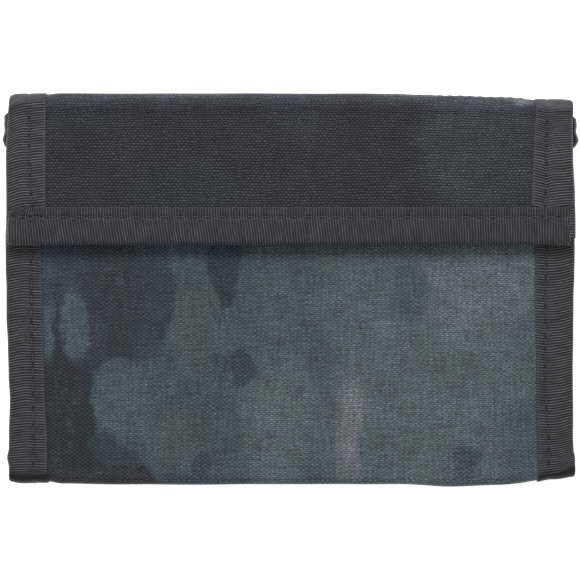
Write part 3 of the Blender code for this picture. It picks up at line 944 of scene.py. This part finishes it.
def printed(paint, x, y):
    """The camouflage print: free blots on the back and the folds, placed ones on the front and the flap.
    Painted light lightens it towards the flap's top fold.
    """
    still = paint.vector(x, y)
    feather = paint.noise(still, 0.9, 4.0, 0.7) - 0.5
    drift = paint.noise(still, 0.16) - 0.5
    other = paint.noise(paint.vector(y, x, 7.0), 0.16) - 0.5
    where = paint.vector(x + (drift * 3.0 + feather * 1.8), y + (other * 3.0 + feather * -1.8))

    ground = paint.mix(paint.ramp(paint.noise(where, 0.035, 1.0), 0.47, 0.5), CHARCOAL, SLATE)
    ground = paint.mix(paint.ramp(paint.noise(paint.vector(x, y, 31.0), 0.05), 0.57, 0.62), ground, NAVY)
    ground = paint.mix(paint.ramp(paint.noise(paint.vector(y, x, 63.0), 0.06), 0.58, 0.66), ground, PALE)
    on_front = paint.ramp(y, run_at(T_BOTTOM_HIGH) - 4, run_at(T_BOTTOM_HIGH) + 4, 1.0, 0.0)
    on_flap = paint.ramp(y, run_at(T_TOP_HIGH) - 3, run_at(T_TOP_HIGH) + 1)
    ground = paint.mix(on_front, ground, SLATE)
    ground = paint.mix(paint.ramp(paint.noise(still, 0.11, 4.0, 0.65), 0.5, 0.68, 0.0, 0.6), ground, OLIVE)
    ground = paint.mix(on_flap, ground, FLAP_BASE)
    for blots, at in ((FRONT_PRINT, front_t), (FLAP_PRINT, flap_t)):
        for spec in blots:
            ground = blot(paint, ground, where, spec, float(run_at(at(spec[1]))))
    speck = paint.noise(paint.vector(y, x, 90.0), 0.3, 3.0, 0.6)
    violet = paint.ramp(speck, 0.54, 0.7, 0.0, 0.5) * (on_flap * -0.75 + 1.0)
    ground = paint.mix(violet, ground, VIOLET)
    cloud = paint.noise(still, 0.12, 4.0, 0.65)
    # Painted light: the flap's print is lightened by up to 0.65 towards its top fold, where the curve catches
    # the light
    painted_top_light = on_flap * paint.ramp(y, run_at(flap_t(41.5)), run_at(flap_t(39)), 0.65, 0.0)
    return paint.scaled(ground, painted_top_light + paint.vary(cloud, 0.25, 0.15))


# How bright the painted sheen on the tops of the threads is, how much of the cloth those tops fill, and how
# long the thick and thin places in a thread are
THREAD_SHEEN = 0.02
MEAN_DOTS = 0.39
SLUB = 6.0


def canvas(name, pitch_x, pitch_y, rows_show, dots_show):
    """Coated plain-weave canvas, printed on its outer side, with the weave's light and shade painted in."""
    paint = Paint(name, roughness=0.62, sheen=0.08, specular=0.25)
    x, y = paint.cloth()
    flat = paint.vector(x, y)
    slip = paint.noise(flat, 0.35, 3.0, 0.6) - 0.5
    other = paint.noise(paint.vector(y, x, 5.0), 0.35, 3.0, 0.6) - 0.5
    height, rows, dots = plain_weave(paint, x + slip * 0.9, y + other * 0.9, pitch_x, pitch_y)
    warp, weft = paint.streaks(x, y, pitch_x, SLUB), paint.streaks(x, y, SLUB, pitch_y)
    nub = paint.noise(flat, 1.9, 2.0, 0.7)
    uneven = paint.vary(warp, 0.25, 0.18) * paint.vary(weft, 0.25, 0.18) * paint.vary(nub, 0.25, 0.38)
    # Painted light and shade of the weave: darker between the rows of threads, where light from above leaves
    # shade, and lighter where the threads cross over
    shade = dots * dots_show + (rows * rows_show + (1 - 0.5 * rows_show - MEAN_DOTS * dots_show))
    # The painted weave shade is weakened by up to 0.55 from the top fold onto the top of the flap
    tight = paint.ramp(y, run_at(T_TOP), run_at(T_TOP_HIGH))
    tight = tight * paint.ramp(y, run_at(flap_t(41)), run_at(flap_t(38.5)), 0.55, 0.0)
    shade = (1.0 - shade) * tight + shade
    paint.bump(height, 0.12, 0.8)
    dyed = paint.scaled(printed(paint, x, y), shade * uneven)
    # Painted sheen: the tops of the threads are painted paler, standing in for light glancing off them
    pale = (dots - MEAN_DOTS) * (uneven * THREAD_SHEEN)
    sheen_colour = paint.vector(pale, pale, pale * 1.05)
    return paint.colour(paint.node("ShaderNodeVectorMath", (dyed, sheen_colour), operation="ADD"))


def binding(name, lit_crest_colour, shaded_groove_colour, side=False, shaded_ends=False):
    """Ribbed grosgrain tape. The cloth coordinate runs along the tape, so the ribs lie across it."""
    paint = Paint(name, roughness=0.6, sheen=0.1, specular=0.35)
    x, y = paint.cloth()
    crest = paint.math("COSINE", x * (TURN / RIB)) * 0.5 + 0.5
    each, twist = paint.streaks(x, y, 0.8 * RIB, 4.0), paint.streaks(x, y, 0.5, 0.2)
    dust = paint.noise(paint.vector(x, y), 0.35, 3.0, 0.6)
    shade = paint.vary(each, 0.2, 0.38) * paint.vary(twist, 0.2, 0.2) * paint.vary(dust, 0.3, 0.14)
    # Painted highlight and shade on the ribs: crests take the lighter colour and grooves the darker one,
    # standing in for light on the ribs and shade between them
    share = paint.ramp(crest, 0.3, 1.0)
    if side:
        selvedge = paint.ramp(y, 0.3, 0.8, 0.6, 0.0)
        share = selvedge * (0.45 - share) + share
        outside = paint.ramp(y, 9.5, 12.0, 1.0, 0.0)
        (top, top_end), (bottom, bottom_end) = WORN_TOP, WORN_AND_SHADED_BOTTOM
        worn = paint.ramp(x, top - 2, top) * paint.ramp(x, top_end - 0.7, top_end + 0.7, 1, 0) * outside
        # Painted shade, with real wear: over the bottom fold's stretch the ribs are pressed flat into the
        # groove colour and the tape is painted darker still
        dark = paint.ramp(x, bottom - 1, bottom + 0.6) * paint.ramp(x, bottom_end, bottom_end + 2, 1, 0)
        dark = dark * outside
        share = (worn + dark) * (worn * 0.5 - share) + share
        # Painted light and shade: the side binding is painted at 0.86 of its colour up to the top fold, rising
        # to full brightness on the flap
        lit = paint.ramp(x, top, float(run_at(flap_t(38))), 0.86, 1.0)
        shade = shade * (lit * (dark * -0.3 + 1.0))
    # Painted shade: the front binding is painted darker over the last millimetre at each end, where it folds
    # round the side bindings
    if shaded_ends:
        shade = shade * paint.ramp(paint.math("ABSOLUTE", x), 61.2, 62.2, 1.0, 0.3)
    # Painted shade in the needle holes
    pierced = paint.node("ShaderNodeAttribute", output="Fac", attribute_name="pierced")
    shade = shade * paint.ramp(pierced, 0.15, 0.7, 1.0, 0.04)
    paint.bump(share + twist * 0.35, 0.07, 0.9)
    return paint.colour(paint.scaled(paint.mix(share, shaded_groove_colour, lit_crest_colour), shade))


def plain_cloth(name, colour, pitch, roughness=0.65, sheen=0.05):
    """Fine plain-weave cloth: lining, pocket cloth and strip bases."""
    paint = Paint(name, roughness=roughness, sheen=sheen, specular=0.35)
    x, y = paint.cloth()
    height, _, dots = plain_weave(paint, x, y, pitch, pitch)
    cloud = paint.noise(paint.vector(x, y), 0.15, 4.0, 0.6)
    shade = (dots * 0.5 + 0.82) * paint.vary(cloud, 0.25, 0.18)
    shade = shade * paint.vary(paint.streaks(x, y, pitch, 12.0), 0.2, 0.12)
    paint.bump(height, 0.3 * pitch, 0.7)
    return paint.colour(paint.scaled(colour, shade))


def twill(name, colour):
    """Woven zip tape, with fine slanting lines."""
    paint = Paint(name, roughness=0.7, sheen=0.05, specular=0.35)
    x, y = paint.cloth()
    lines = paint.math("SINE", x * (TURN / 0.7) + y * (TURN / 0.5))
    cloud = paint.noise(paint.vector(x, y), 0.3, 3.0)
    paint.bump(lines, 0.06, 0.7)
    shade = paint.ramp(lines, -1, 1, 0.7, 1.25) + paint.ramp(cloud, 0.3, 0.7, -0.12, 0.12)
    return paint.colour(paint.scaled(colour, shade))


def thread(name, colour):
    """Twisted sewing thread."""
    paint = Paint(name, roughness=0.5, sheen=0.1)
    x, y = paint.cloth()
    ply = paint.math("SINE", x * (TURN / 0.35) + y * 8.0)
    paint.bump(ply, 0.04, 0.8)
    return paint.colour(paint.scaled(colour, paint.ramp(ply, -1, 1, 0.6, 1.35)))


def nylon(name, colour, roughness):
    """Drawn nylon: coil wire, hooks, pile and melted ends."""
    paint = Paint(name, roughness=roughness)
    grain = paint.noise(paint.space(), 1.2, 3.0, 0.6)
    paint.bump(grain, 0.02, 0.5)
    return paint.colour(paint.scaled(colour, paint.ramp(grain, 0.3, 0.7, 0.75, 1.3)))


def plated(name):
    """Dark gunmetal plating over a die casting, rubbed brighter in patches."""
    paint = Paint(name, roughness=0.36, metallic=1.0)
    cast, rub = paint.noise(paint.space(), 2.5, 4.0, 0.65), paint.noise(paint.space(), 0.5)
    paint.put(paint.ramp(cast, 0.3, 0.7, 0.28, 0.46), paint.shader.inputs["Roughness"])
    paint.bump(cast, 0.03, 0.6)
    return paint.colour(paint.mix(paint.ramp(rub, 0.4, 0.7), (0.085, 0.087, 0.095), (0.17, 0.172, 0.18)))


CANVAS_FRONT = canvas("canvas_front", 0.587, 0.44, 0.5, 0.4)
CANVAS_TURNED = canvas("canvas_turned", 0.44, 0.587, 1.35, 0.5)
# Each tape's crest colour holds painted highlight and its groove colour painted shade; the side bindings' are
# the strongest
BINDING = binding("binding_tape", dye(86, 87, 93), dye(25, 25, 28))
BINDING_SIDE = binding("binding_tape_side", dye(106, 106, 113), dye(8, 8, 10), side=True)
BINDING_SHADED_ENDS = binding("binding_tape_front", dye(88, 89, 95), dye(26, 26, 29), shaded_ends=True)
LINING = plain_cloth("lining_cloth", dye(34, 34, 38), 0.26, roughness=0.5)
POCKET = plain_cloth("pocket_cloth", dye(52, 56, 60), 0.38)
COIN = plain_cloth("coin_cloth", dye(48, 52, 56), 0.38)
STRIP_BASE = plain_cloth("strip_base", dye(32, 32, 34), 0.5, roughness=0.8)
ZIP_TAPE = twill("zip_twill", dye(38, 38, 41))
THREAD_DARK = thread("sewing_thread", dye(76, 76, 81))
COIL = nylon("zip_coil", dye(44, 44, 48), 0.35)
HOOKS = nylon("hook_nylon", dye(40, 40, 42), 0.45)
PILE = nylon("loop_pile", dye(40, 40, 43), 0.8)
METAL = plated("gunmetal")
SEALED = nylon("melted_edge", dye(118, 118, 118), 0.6)

# ---------------------------------------------------------------- the shell and its lining


PUCKER = 0.05


def pucker(x, run):
    """Low relief of the canvas: slack across the panel, and small gathers where the binding is sewn."""
    edge = HALF_X - TAPE_WIDTH - np.abs(x)
    gathers = PUCKER * np.sin(TURN * run / STITCH_PITCH + 1.2 * np.sin(run / 9))
    gathers = gathers * np.exp(-np.clip(edge, 0, None) / 1.8)
    slack = PUCKER * np.sin(x / 4.1 + 1.7 * np.sin(run / 8.3)) * np.sin(run / 5.3 + x / 17)
    return gathers + slack + plump(run) * smooth(edge, 0.0, 3.0)


def plump(run):
    """How far the canvas stands out round the folds, to the level of the bindings beside it."""
    rise = 0.0
    for first, last in ((T_BOTTOM_HIGH, T_BACK_LOW), (T_BACK_HIGH, T_TOP_HIGH)):
        first, last = run_at(first), run_at(last)
        rise = rise + 0.4 * smooth(run, first - 3, first + 1) * (1 - smooth(run, last - 1, last + 3))
    return rise


def make_shell():
    front_end, flap_end = T_FRONT_EDGE + HALF_X - SHELL_X, T_FLAP_EDGE - (HALF_X - SHELL_X)
    bodies = ("back", "bottom_fold", "front", "top_fold", "flap")
    for material, first, last in ((CANVAS_FRONT, front_end, T_TOP), (CANVAS_TURNED, T_TOP, flap_end)):
        long_cloth(
            "canvas", material, first, last, -SHELL_X, SHELL_X, SHELL_OUT, SHELL_IN, SHELL_COLUMNS,
            "shell", bodies, pucker
        )


def make_lining():
    inner = lambda t: lining_depth(t) + LINING_IN - LINING_OUT
    long_cloth(
        "lining", LINING, T_FRONT_EDGE + HALF_X - SHELL_X, high("lining_back")[1], -SHELL_X,
        LINING_X, lining_depth, inner, LINING_COLUMNS, "lining", ("back", "bottom_fold", "front")
    )
    long_cloth(
        "flap_lining", LINING, T_BACK_HIGH - 2, flap_t(low("lining_flap")[1]), -SHELL_X, SHELL_X,
        FLAP_LINING_OUT, FLAP_LINING_IN, LINING_COLUMNS, "lining", ("top_fold", "flap")
    )


# ---------------------------------------------------------------- bindings

SMALL_SEAM = SMALL_TAPE_X - 4.4
EDGING_SEAM = 4.6
# Edge bindings stand a little proud of the side bindings, which are pressed in under them
EDGE_NEAR = -0.12
# How far an edge tape is stitched from its inner edge
EDGE_SEAM = 2.2
UNDER = TAPE + EDGE_NEAR + 0.04
FLAP_TAPE_TOP = high("binding_flap_edge")[1]
FRONT_TAPE_LOW = low("binding_front_edge")[1]
# The side bindings run on under the edge bindings
SIDE_TAPE_START, SIDE_TAPE_END = front_t(FRONT_TAPE_LOW + 3), T_FLAP_EDGE - 1.3
# The bindings of the panels' own edges: edge, which way their cloth lies from it, depth and body
EDGE_TAPES = {
    "binding_front_edge": (T_FRONT_EDGE, 1, FRONT_DEPTH + 0.1, "front"),
    "binding_flap_edge": (T_FLAP_EDGE, -1, FLAP_DEPTH + 0.1, "flap"),
}


def tucked(t):
    """How far a side tape is pressed in where it runs on under an edge binding."""
    on_flap = smooth(t, flap_t(FLAP_TAPE_TOP + 0.5), flap_t(FLAP_TAPE_TOP))
    return UNDER * (on_flap + smooth(-t, -front_t(FRONT_TAPE_LOW - 0.5), -front_t(FRONT_TAPE_LOW)))


def make_side_tapes():
    chevron = lambda t: 0.37 * smooth(t, T_TOP, flap_t(41))
    for side, word, edge, deep, selvedge, seam_line, drags in (
        (-1, "left", left_edge, left_depth, left_selvedge, left_seam, (left_lean, level(0.15), left_skew)),
        (1, "right", right_edge, right_depth, right_selvedge, right_seam, (right_lean, chevron, right_skew)),
    ):
        for zone, fold, first, last in stretches(SIDE_TAPE_START, SIDE_TAPE_END):
            piece = side_tape(
                f"binding_{word}_{zone}", side, first, last, edge, tucked, lambda t: deep(t) - tucked(t),
                selvedge, seam_line, drags, BINDING_SIDE, fold
            )
            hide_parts(*[f"binding_{body.replace('_fold', '')}_{word}" for body in fold.bodies])


def make_small_tape():
    """The tape on the lining's own edge, at the banknote compartment's opening."""
    start, end = front_t(high("lining_binding_front")[1]), high("lining_binding_back")[1]
    for zone, fold, first, last in stretches(start, end):
        piece = side_tape(
            f"lining_binding_{zone}", 1, first, last, level(SMALL_TAPE_X), level(SMALL_TAPE_OUT),
            small_tape_depth, level(SMALL_TAPE_X - SMALL_TAPE_WIDTH), level(SMALL_SEAM),
            (level(0.3), level(0), level(0)), BINDING, fold
        )
        nodes = [f"lining_binding_{body.replace('_fold', '')}" for body in fold.bodies if body != "top_fold"]
        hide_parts(*nodes)


def closing(x, left, right, most, length=1.1):
    """How far each leg of a tape is drawn in towards the other at its ends."""
    gap = np.minimum(np.abs(x - left), np.abs(right - x))
    return most * (1 - np.sqrt(np.clip(1 - (1 - np.clip(gap / length, 0, 1)) ** 2, 0, 1)))


def front_tape_ends(x, section):
    """The tape's ends are folded round the side bindings in two soft lobes."""
    outline = through(
        section.u, (0, -0.45), (0.8, -0.12), (2.0, -0.08), (3.0, -0.02), (4.6, -0.12), (6.9, 0.4), (8.0, 0.2),
        (8.7, -0.4)
    )
    outline = outline + 0.15 * (x < 0) * bell(section.u - 1.0, 1.3)
    pull = np.sign(x) * outline * smooth(np.abs(x), 60.5, 62.8)
    left, right = low("binding_front_edge")[0], high("binding_front_edge")[0]
    return pull, closing(x, left, right, FRONT_DEPTH / 2 - 0.75)


def flap_tape_ends(x, section):
    """The left end is turned under; the right end is cut straight and melted."""
    sealed = high("binding_flap_edge")[0]
    ragged = 0.08 * np.sin(section.u * 2.1) + 0.06 * np.sin(section.u * 5.3 + 1)
    corner = 1 - np.sqrt(np.clip(1 - np.clip((section.u - section.width + 2.1) / 2.15, 0, 1) ** 2, 0, 1))
    pull = (0.18 + 2.6 * corner) * (1 - smooth(x, -HALF_X, -HALF_X + 7))
    pull = pull + ragged * smooth(x, sealed - 1.5, sealed)
    tuck = closing(x, low("binding_flap_edge")[0], np.inf, FLAP_DEPTH / 2 - 0.45, 1.3)
    return pull, tuck + 0.12 * smooth(x, sealed - 0.5, sealed)


def make_edge_tapes():
    for node, lean, material, ends in (
        ("binding_front_edge", 0.5, BINDING_SHADED_ENDS, front_tape_ends),
        ("binding_flap_edge", 1.0, BINDING, flap_tape_ends),
    ):
        edge_t, way, deep, body = EDGE_TAPES[node]
        (left, bottom, _), (right, top, _) = low(node), high(node)
        width = top - bottom
        piece = edge_tape(
            f"{node}_tape", left, right, edge_t, way, EDGE_NEAR, deep, width, width - EDGE_SEAM, lean,
            material, ends
        )
        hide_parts(node)
        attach(piece, body)


# ---------------------------------------------------------------- rows of stitches


def make_thread():
    for zone, fold, first, last in stretches(SIDE_TAPE_START, SIDE_TAPE_END):
        sewing = Sewing(f"thread_{zone}")
        for line, deep in (((lambda t: -left_seam(t)), left_depth), (right_seam, right_depth)):
            for part in sewn(first, last):
                sewing.down(line, *part, level(0), -1)
                sewing.down(line, *part, deep, 1)
        small_last = min(last, high("lining_binding_back")[1])
        if small_last > first:
            sewing.down(level(SMALL_SEAM), first, small_last, level(SMALL_TAPE_OUT), -1)
            sewing.down(level(SMALL_SEAM), first, small_last, small_tape_depth, 1)
        sewing.make(fold)


def make_edge_thread():
    for node in ("binding_flap_edge", "binding_front_edge"):
        edge_t, way, deep, body = EDGE_TAPES[node]
        start, end = seam_span(low(node)[0], high(node)[0])
        t = edge_t + way * (high(node)[1] - low(node)[1] - EDGE_SEAM)
        sewing = Sewing(f"thread_{node}")
        for depth, face in ((EDGE_NEAR, -1), (deep, 1)):
            sewing.over(t, start, end, depth, face)
            for first, last in ((start, start + TACK), (end - TACK, end)):
                sewing.over(t - 0.35 * way, first, last, depth, face, pitch=TACK_PITCH, sink=0.05)
        sewing.make(body)


# How far from the middle the rows inside end, their stitches' pitches and how far they sink in
ROW_END = 53
POCKET_PITCH, FINE_PITCH = 2.6, 2.4
SHALLOW = 0.02


def make_inner_thread():
    """Rows on the lining's hem, the card pockets, the coin panels and the closure strips."""
    pockets = Sewing("thread_pockets")
    for name in ("high", "middle", "low"):
        top, bottom = high(f"card_edging_{name}"), low(f"card_pocket_{name}")
        pockets.over(top[1] - EDGING_SEAM, -ROW_END, ROW_END, top[2], 1)
        if name != "low":
            face_at = high(f"card_pocket_{name}")[2]
            pockets.over(bottom[1] + 1.5, -ROW_END, ROW_END, face_at, 1, sink=SHALLOW, pitch=POCKET_PITCH)
    hem = T_BACK_HIGH - 3.2
    hem_depth = lining_depth(np.array(hem)) + 0.4
    pockets.over(hem, -ROW_END, ROW_END, hem_depth, 1, sink=SHALLOW, pitch=POCKET_PITCH)
    pockets.make("back")
    coins = Sewing("thread_coin_pocket")
    for line in (high("coin_panel_lower")[1] - 1.3, low("coin_panel_upper")[1] + 1.3):
        coins.over(front_t(line), -ROW_END, ROW_END, COIN_IN, 1, sink=SHALLOW, pitch=FINE_PITCH)
    coins.make("front")
    for node, body, at, depth, face in (
        ("loop_strip", "front", front_t, -0.15, -1),
        ("hook_strip", "flap", flap_t, FLAP_Z - high("hook_strip")[2] + 0.45, 1),
    ):
        lowest, highest = low(node) + 1.0, high(node) - 1.0
        sewing = Sewing(f"thread_{node}")
        for y in (lowest[1], highest[1]):
            sewing.over(at(y), lowest[0], highest[0], depth, face, sink=0.0, pitch=FINE_PITCH)
        for x in (lowest[0], highest[0]):
            sewing.down(level(x), at(highest[1]), at(lowest[1]), level(depth), face, pitch=FINE_PITCH)
        sewing.make(body)


# ---------------------------------------------------------------- pockets, zip and closure


def make_card_pockets():
    for name in ("high", "middle", "low"):
        node, edging = f"card_pocket_{name}", f"card_edging_{name}"
        foot, mouth = low(node)[1], high(node)[1]
        outer, inner = low(node)[2], high(node)[2]
        follow = BACK_BOTTOM if name == "low" else "back"
        lifted = lambda t: through(t, (mouth - 7.5, 0.0), (mouth - 5.5, 0.24))
        panel(
            node, "cloth", POCKET, "card_pocket", follow, foot, mouth, -SHELL_X, LINING_X,
            lambda t: outer + lifted(t) + 0.02, lambda t: inner + lifted(t) - 0.05
        )
        first, last = low(edging), high(edging)
        tape = edge_tape(
            f"{edging}_tape", first[0], last[0], last[1], -1, outer + 0.01, last[2], last[1] - first[1],
            EDGING_SEAM, 0.2, BINDING, lambda x, section: (0 * x, 0 * x)
        )
        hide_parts(edging)
        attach(tape, "back")


def make_coin_panels():
    for node in ("coin_panel_lower", "coin_panel_upper"):
        thick = COIN_IN - COIN_OUT
        panel(
            node, "cloth", COIN, "coin_panel", BOTTOM_FRONT, front_t(high(node)[1]), front_t(low(node)[1]),
            -SHELL_X, LINING_X, coin_depth, lambda t: coin_depth(t) + thick
        )


COIL_PITCH = 1.25
COIL_WIRE = 0.2
COIL_STEPS = 14


def make_zip():
    for word in ("lower", "upper"):
        node = f"zip_tape_{word}"
        lowest, highest = low(node), high(node)
        panel(
            node, "cloth", ZIP_TAPE, "zip_tape", "front", front_t(highest[1]), front_t(lowest[1]), lowest[0],
            highest[0], FRONT_Z - highest[2], FRONT_Z - lowest[2], LINING_COLUMNS
        )
        make_coil(f"zip_teeth_{word}", 1 if word == "lower" else -1)
    for node in ("zip_stop_left", "zip_stop_right"):
        make_casting(node, "front")
    for node in ("zip_slider", "zip_puller"):
        make_casting(node, node)


def make_coil(node, inward):
    """One row of teeth: a flattened coil of nylon wire, with its heads towards the other row."""
    lowest, highest = low(node), high(node)
    middle, half = (lowest + highest) / 2, (highest - lowest) / 2 - COIL_WIRE
    turns = (highest[0] - lowest[0]) / COIL_PITCH
    angle = np.linspace(0, TURN * turns, int(turns * COIL_STEPS))
    x = lowest[0] + COIL_WIRE + (highest[0] - lowest[0] - 2 * COIL_WIRE) * angle / angle[-1]
    y = middle[1] + half[1] * np.cos(angle)
    z = middle[2] + half[2] * np.sin(angle)
    line = np.stack([x, y, z], -1)[None]
    radius = COIL_WIRE * (1 + 0.25 * (np.cos(angle) * inward > 0.6))[None]
    piece = tubes(f"{node}_coil", line, radius, 6, (1, 0, 0), COIL, "front", on_strip=False)
    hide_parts(node)


def make_casting(node, body):
    """A die-cast piece: the frame's own shape with its edges rounded."""
    shape = bmesh.new()
    shape.from_mesh(frame["nodes"][node].data)
    bmesh.ops.remove_doubles(shape, verts=shape.verts, dist=1e-6)
    bmesh.ops.dissolve_limit(shape, angle_limit=math.radians(2), verts=shape.verts, edges=shape.edges)
    corners = [e for e in shape.edges if e.is_manifold and e.calc_face_angle(0) > math.radians(25)]
    bmesh.ops.bevel(
        shape, geom=corners, offset=0.11 * MM, segments=2, profile=0.6, affect="EDGES", clamp_overlap=True
    )
    mesh = bpy.data.meshes.new(f"{node}_metal")
    shape.to_mesh(mesh)
    shape.free()
    mesh.shade_smooth()
    mesh.set_sharp_from_angle(angle=math.radians(40))
    mesh.materials.append(METAL)
    piece = show(f"{node}_metal", mesh)
    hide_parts(node)
    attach(piece, body)


STRIP_THICK = 0.5
# A loop and a hook, as lines of (sideways in mm, up as a share of the height) points
LOOP = ((0, -0.05), (0.05, 0.55), (0.3, 0.95), (0.6, 0.9), (0.8, 0.45), (0.7, -0.05))
HOOK = ((0, -0.05), (0, 0.6), (0.12, 0.9), (0.36, 0.95), (0.52, 0.75), (0.5, 0.55))


def make_closure():
    """The loop strip on the front panel and the hook strip on the flap's lining. foot is the depth of the
    cloth that each is sewn to, and way the direction that it faces."""
    loop_foot, hook_foot = FRONT_Z - low("loop_strip")[2], FLAP_Z - high("hook_strip")[2]
    for slot, tips, material, body, at, foot, way, shape, pitch, radius, sides, spin in (
        ("loop", "pile", PILE, "front", front_t, loop_foot, -1, LOOP, 0.95, 0.06, 3, True),
        ("hook", "hooks", HOOKS, "flap", flap_t, hook_foot, 1, HOOK, 1.2, 0.085, 4, False),
    ):
        node = f"{slot}_strip"
        lowest, highest = low(node), high(node)
        face = foot + way * STRIP_THICK
        first, last = at(highest[1]), at(lowest[1])
        span = lowest[0], highest[0]
        panel(node, "base", STRIP_BASE, slot, body, first, last, *span, min(foot, face), max(foot, face))
        centres = field(*span, first, last, pitch, shape, highest[2] - lowest[2] - STRIP_THICK - 0.1, spin)
        centres[..., 2] = face + way * centres[..., 2]
        tubes(f"{node}_{tips}", centres, radius, sides, (0.31, 0.95, 0.02), material, body)


def field(left, right, first, last, pitch, shape, tall, spin):
    """Small loops or hooks over a span of x and t, as lines of (x, t, height) points."""
    margin = 1.9
    rows_at = np.arange(first + margin, last - margin, pitch)
    x, t = np.meshgrid(np.arange(left + margin, right - margin, pitch), rows_at)
    x = x + np.where(np.arange(len(rows_at))[:, None] % 2, pitch / 2, 0)
    x, t = (v + RNG.uniform(-0.08, 0.08, x.shape) * pitch for v in (x, t))
    x, t = x.ravel()[:, None], t.ravel()[:, None]
    turn = RNG.uniform(0, TURN, x.shape) if spin else np.where(RNG.random(x.shape) < 0.5, 0, math.pi)
    height = tall * RNG.uniform(0.85, 1.0, x.shape)
    side, up = np.array(shape).T[:, None]
    return np.stack([x + side * np.cos(turn), t + side * np.sin(turn), up * height], -1)


def make_sealed_end():
    """The bead of melted ribs along the cut end of the flap's edge binding."""
    lowest, highest = low("binding_flap_edge"), high("binding_flap_edge")
    y = np.linspace(highest[1] - 1.3, lowest[1] + 0.8, 40)
    ragged = 0.07 * np.sin(y * 3.1) + 0.05 * np.sin(y * 7.7 + 1)
    depth = EDGE_NEAR + 0.16 + 0.05 * np.sin(y * 4.3)
    line = np.stack([highest[0] + 0.02 + ragged, flap_t(y), depth], -1)[None]
    radius = 0.07 + 0.04 * np.sin(y * 5.9 + 0.4) * np.sin(y * 2.3)
    tubes("binding_flap_edge_seal", line, radius[None], 6, (0, 0, 1), SEALED, "flap")


# ---------------------------------------------------------------- studio


def make_floor():
    mesh = bpy.data.meshes.new("studio_floor")
    half = 3.0
    corners = [(-half, -half, 0), (half, -half, 0), (half, half, 0), (-half, half, 0)]
    mesh.from_pydata(corners, [], [(0, 1, 2, 3)])
    floor = show("studio_floor", mesh)
    floor.location = (0, 0, -0.2 * MM)
    paint = Paint("pale_floor", roughness=0.9)
    grain = paint.noise(paint.space(), 0.01, 2.0)
    paint.shader.inputs["Emission Color"].default_value = (1, 1, 1, 1)
    paint.shader.inputs["Emission Strength"].default_value = 0.7
    mesh.materials.append(paint.colour(paint.mix(grain, (0.9, 0.9, 0.9), (0.92, 0.92, 0.92))))


def area_light(name, place_at, target, size, power):
    data = bpy.data.lights.new(name, "AREA")
    data.shape, data.size, data.energy = "SQUARE", size, power
    lamp = show(name, data)
    lamp.location = place_at
    direction = np.array(target) - np.array(place_at)
    yaw = math.atan2(direction[1], direction[0]) - QUARTER
    pitch_down = math.acos(-direction[2] / np.linalg.norm(direction))
    lamp.rotation_euler = (pitch_down, 0, yaw)


def make_studio():
    make_floor()
    area_light("key_light", (-0.07, 0.54, 0.72), (0, 0, 0), 0.32, 4.85)
    area_light("fill_light", (0.12, -0.12, 0.85), (0, 0, 0), 0.8, 1.2)
    world = bpy.data.worlds.new("studio")
    world.use_nodes = True
    background = world.node_tree.nodes["Background"]
    background.inputs["Color"].default_value = (1, 1, 1, 1)
    background.inputs["Strength"].default_value = 0.5
    bpy.context.scene.world = world
    bpy.context.scene.view_settings.view_transform = "Standard"


# The width that the camera sees at the front panel, in metres, its lens and where it stands, in millimetres
VIEW_WIDTH = 0.1276
LENS, SENSOR = 250.0, 36.0
CAMERA_X, CAMERA_Y = -0.1, -0.24


def make_camera():
    data = bpy.data.cameras.new("camera")
    data.lens, data.sensor_width = LENS, SENSOR
    camera = show("camera", data)
    camera.location = (CAMERA_X * MM, CAMERA_Y * MM, FRONT_Z * MM + VIEW_WIDTH * LENS / SENSOR)
    bpy.context.scene.camera = camera


make_camera()
make_studio()
make_shell()
make_lining()
make_side_tapes()
make_small_tape()
make_edge_tapes()
make_thread()
make_edge_thread()
make_inner_thread()
make_card_pockets()
make_coin_panels()
make_zip()
make_closure()
make_sealed_end()
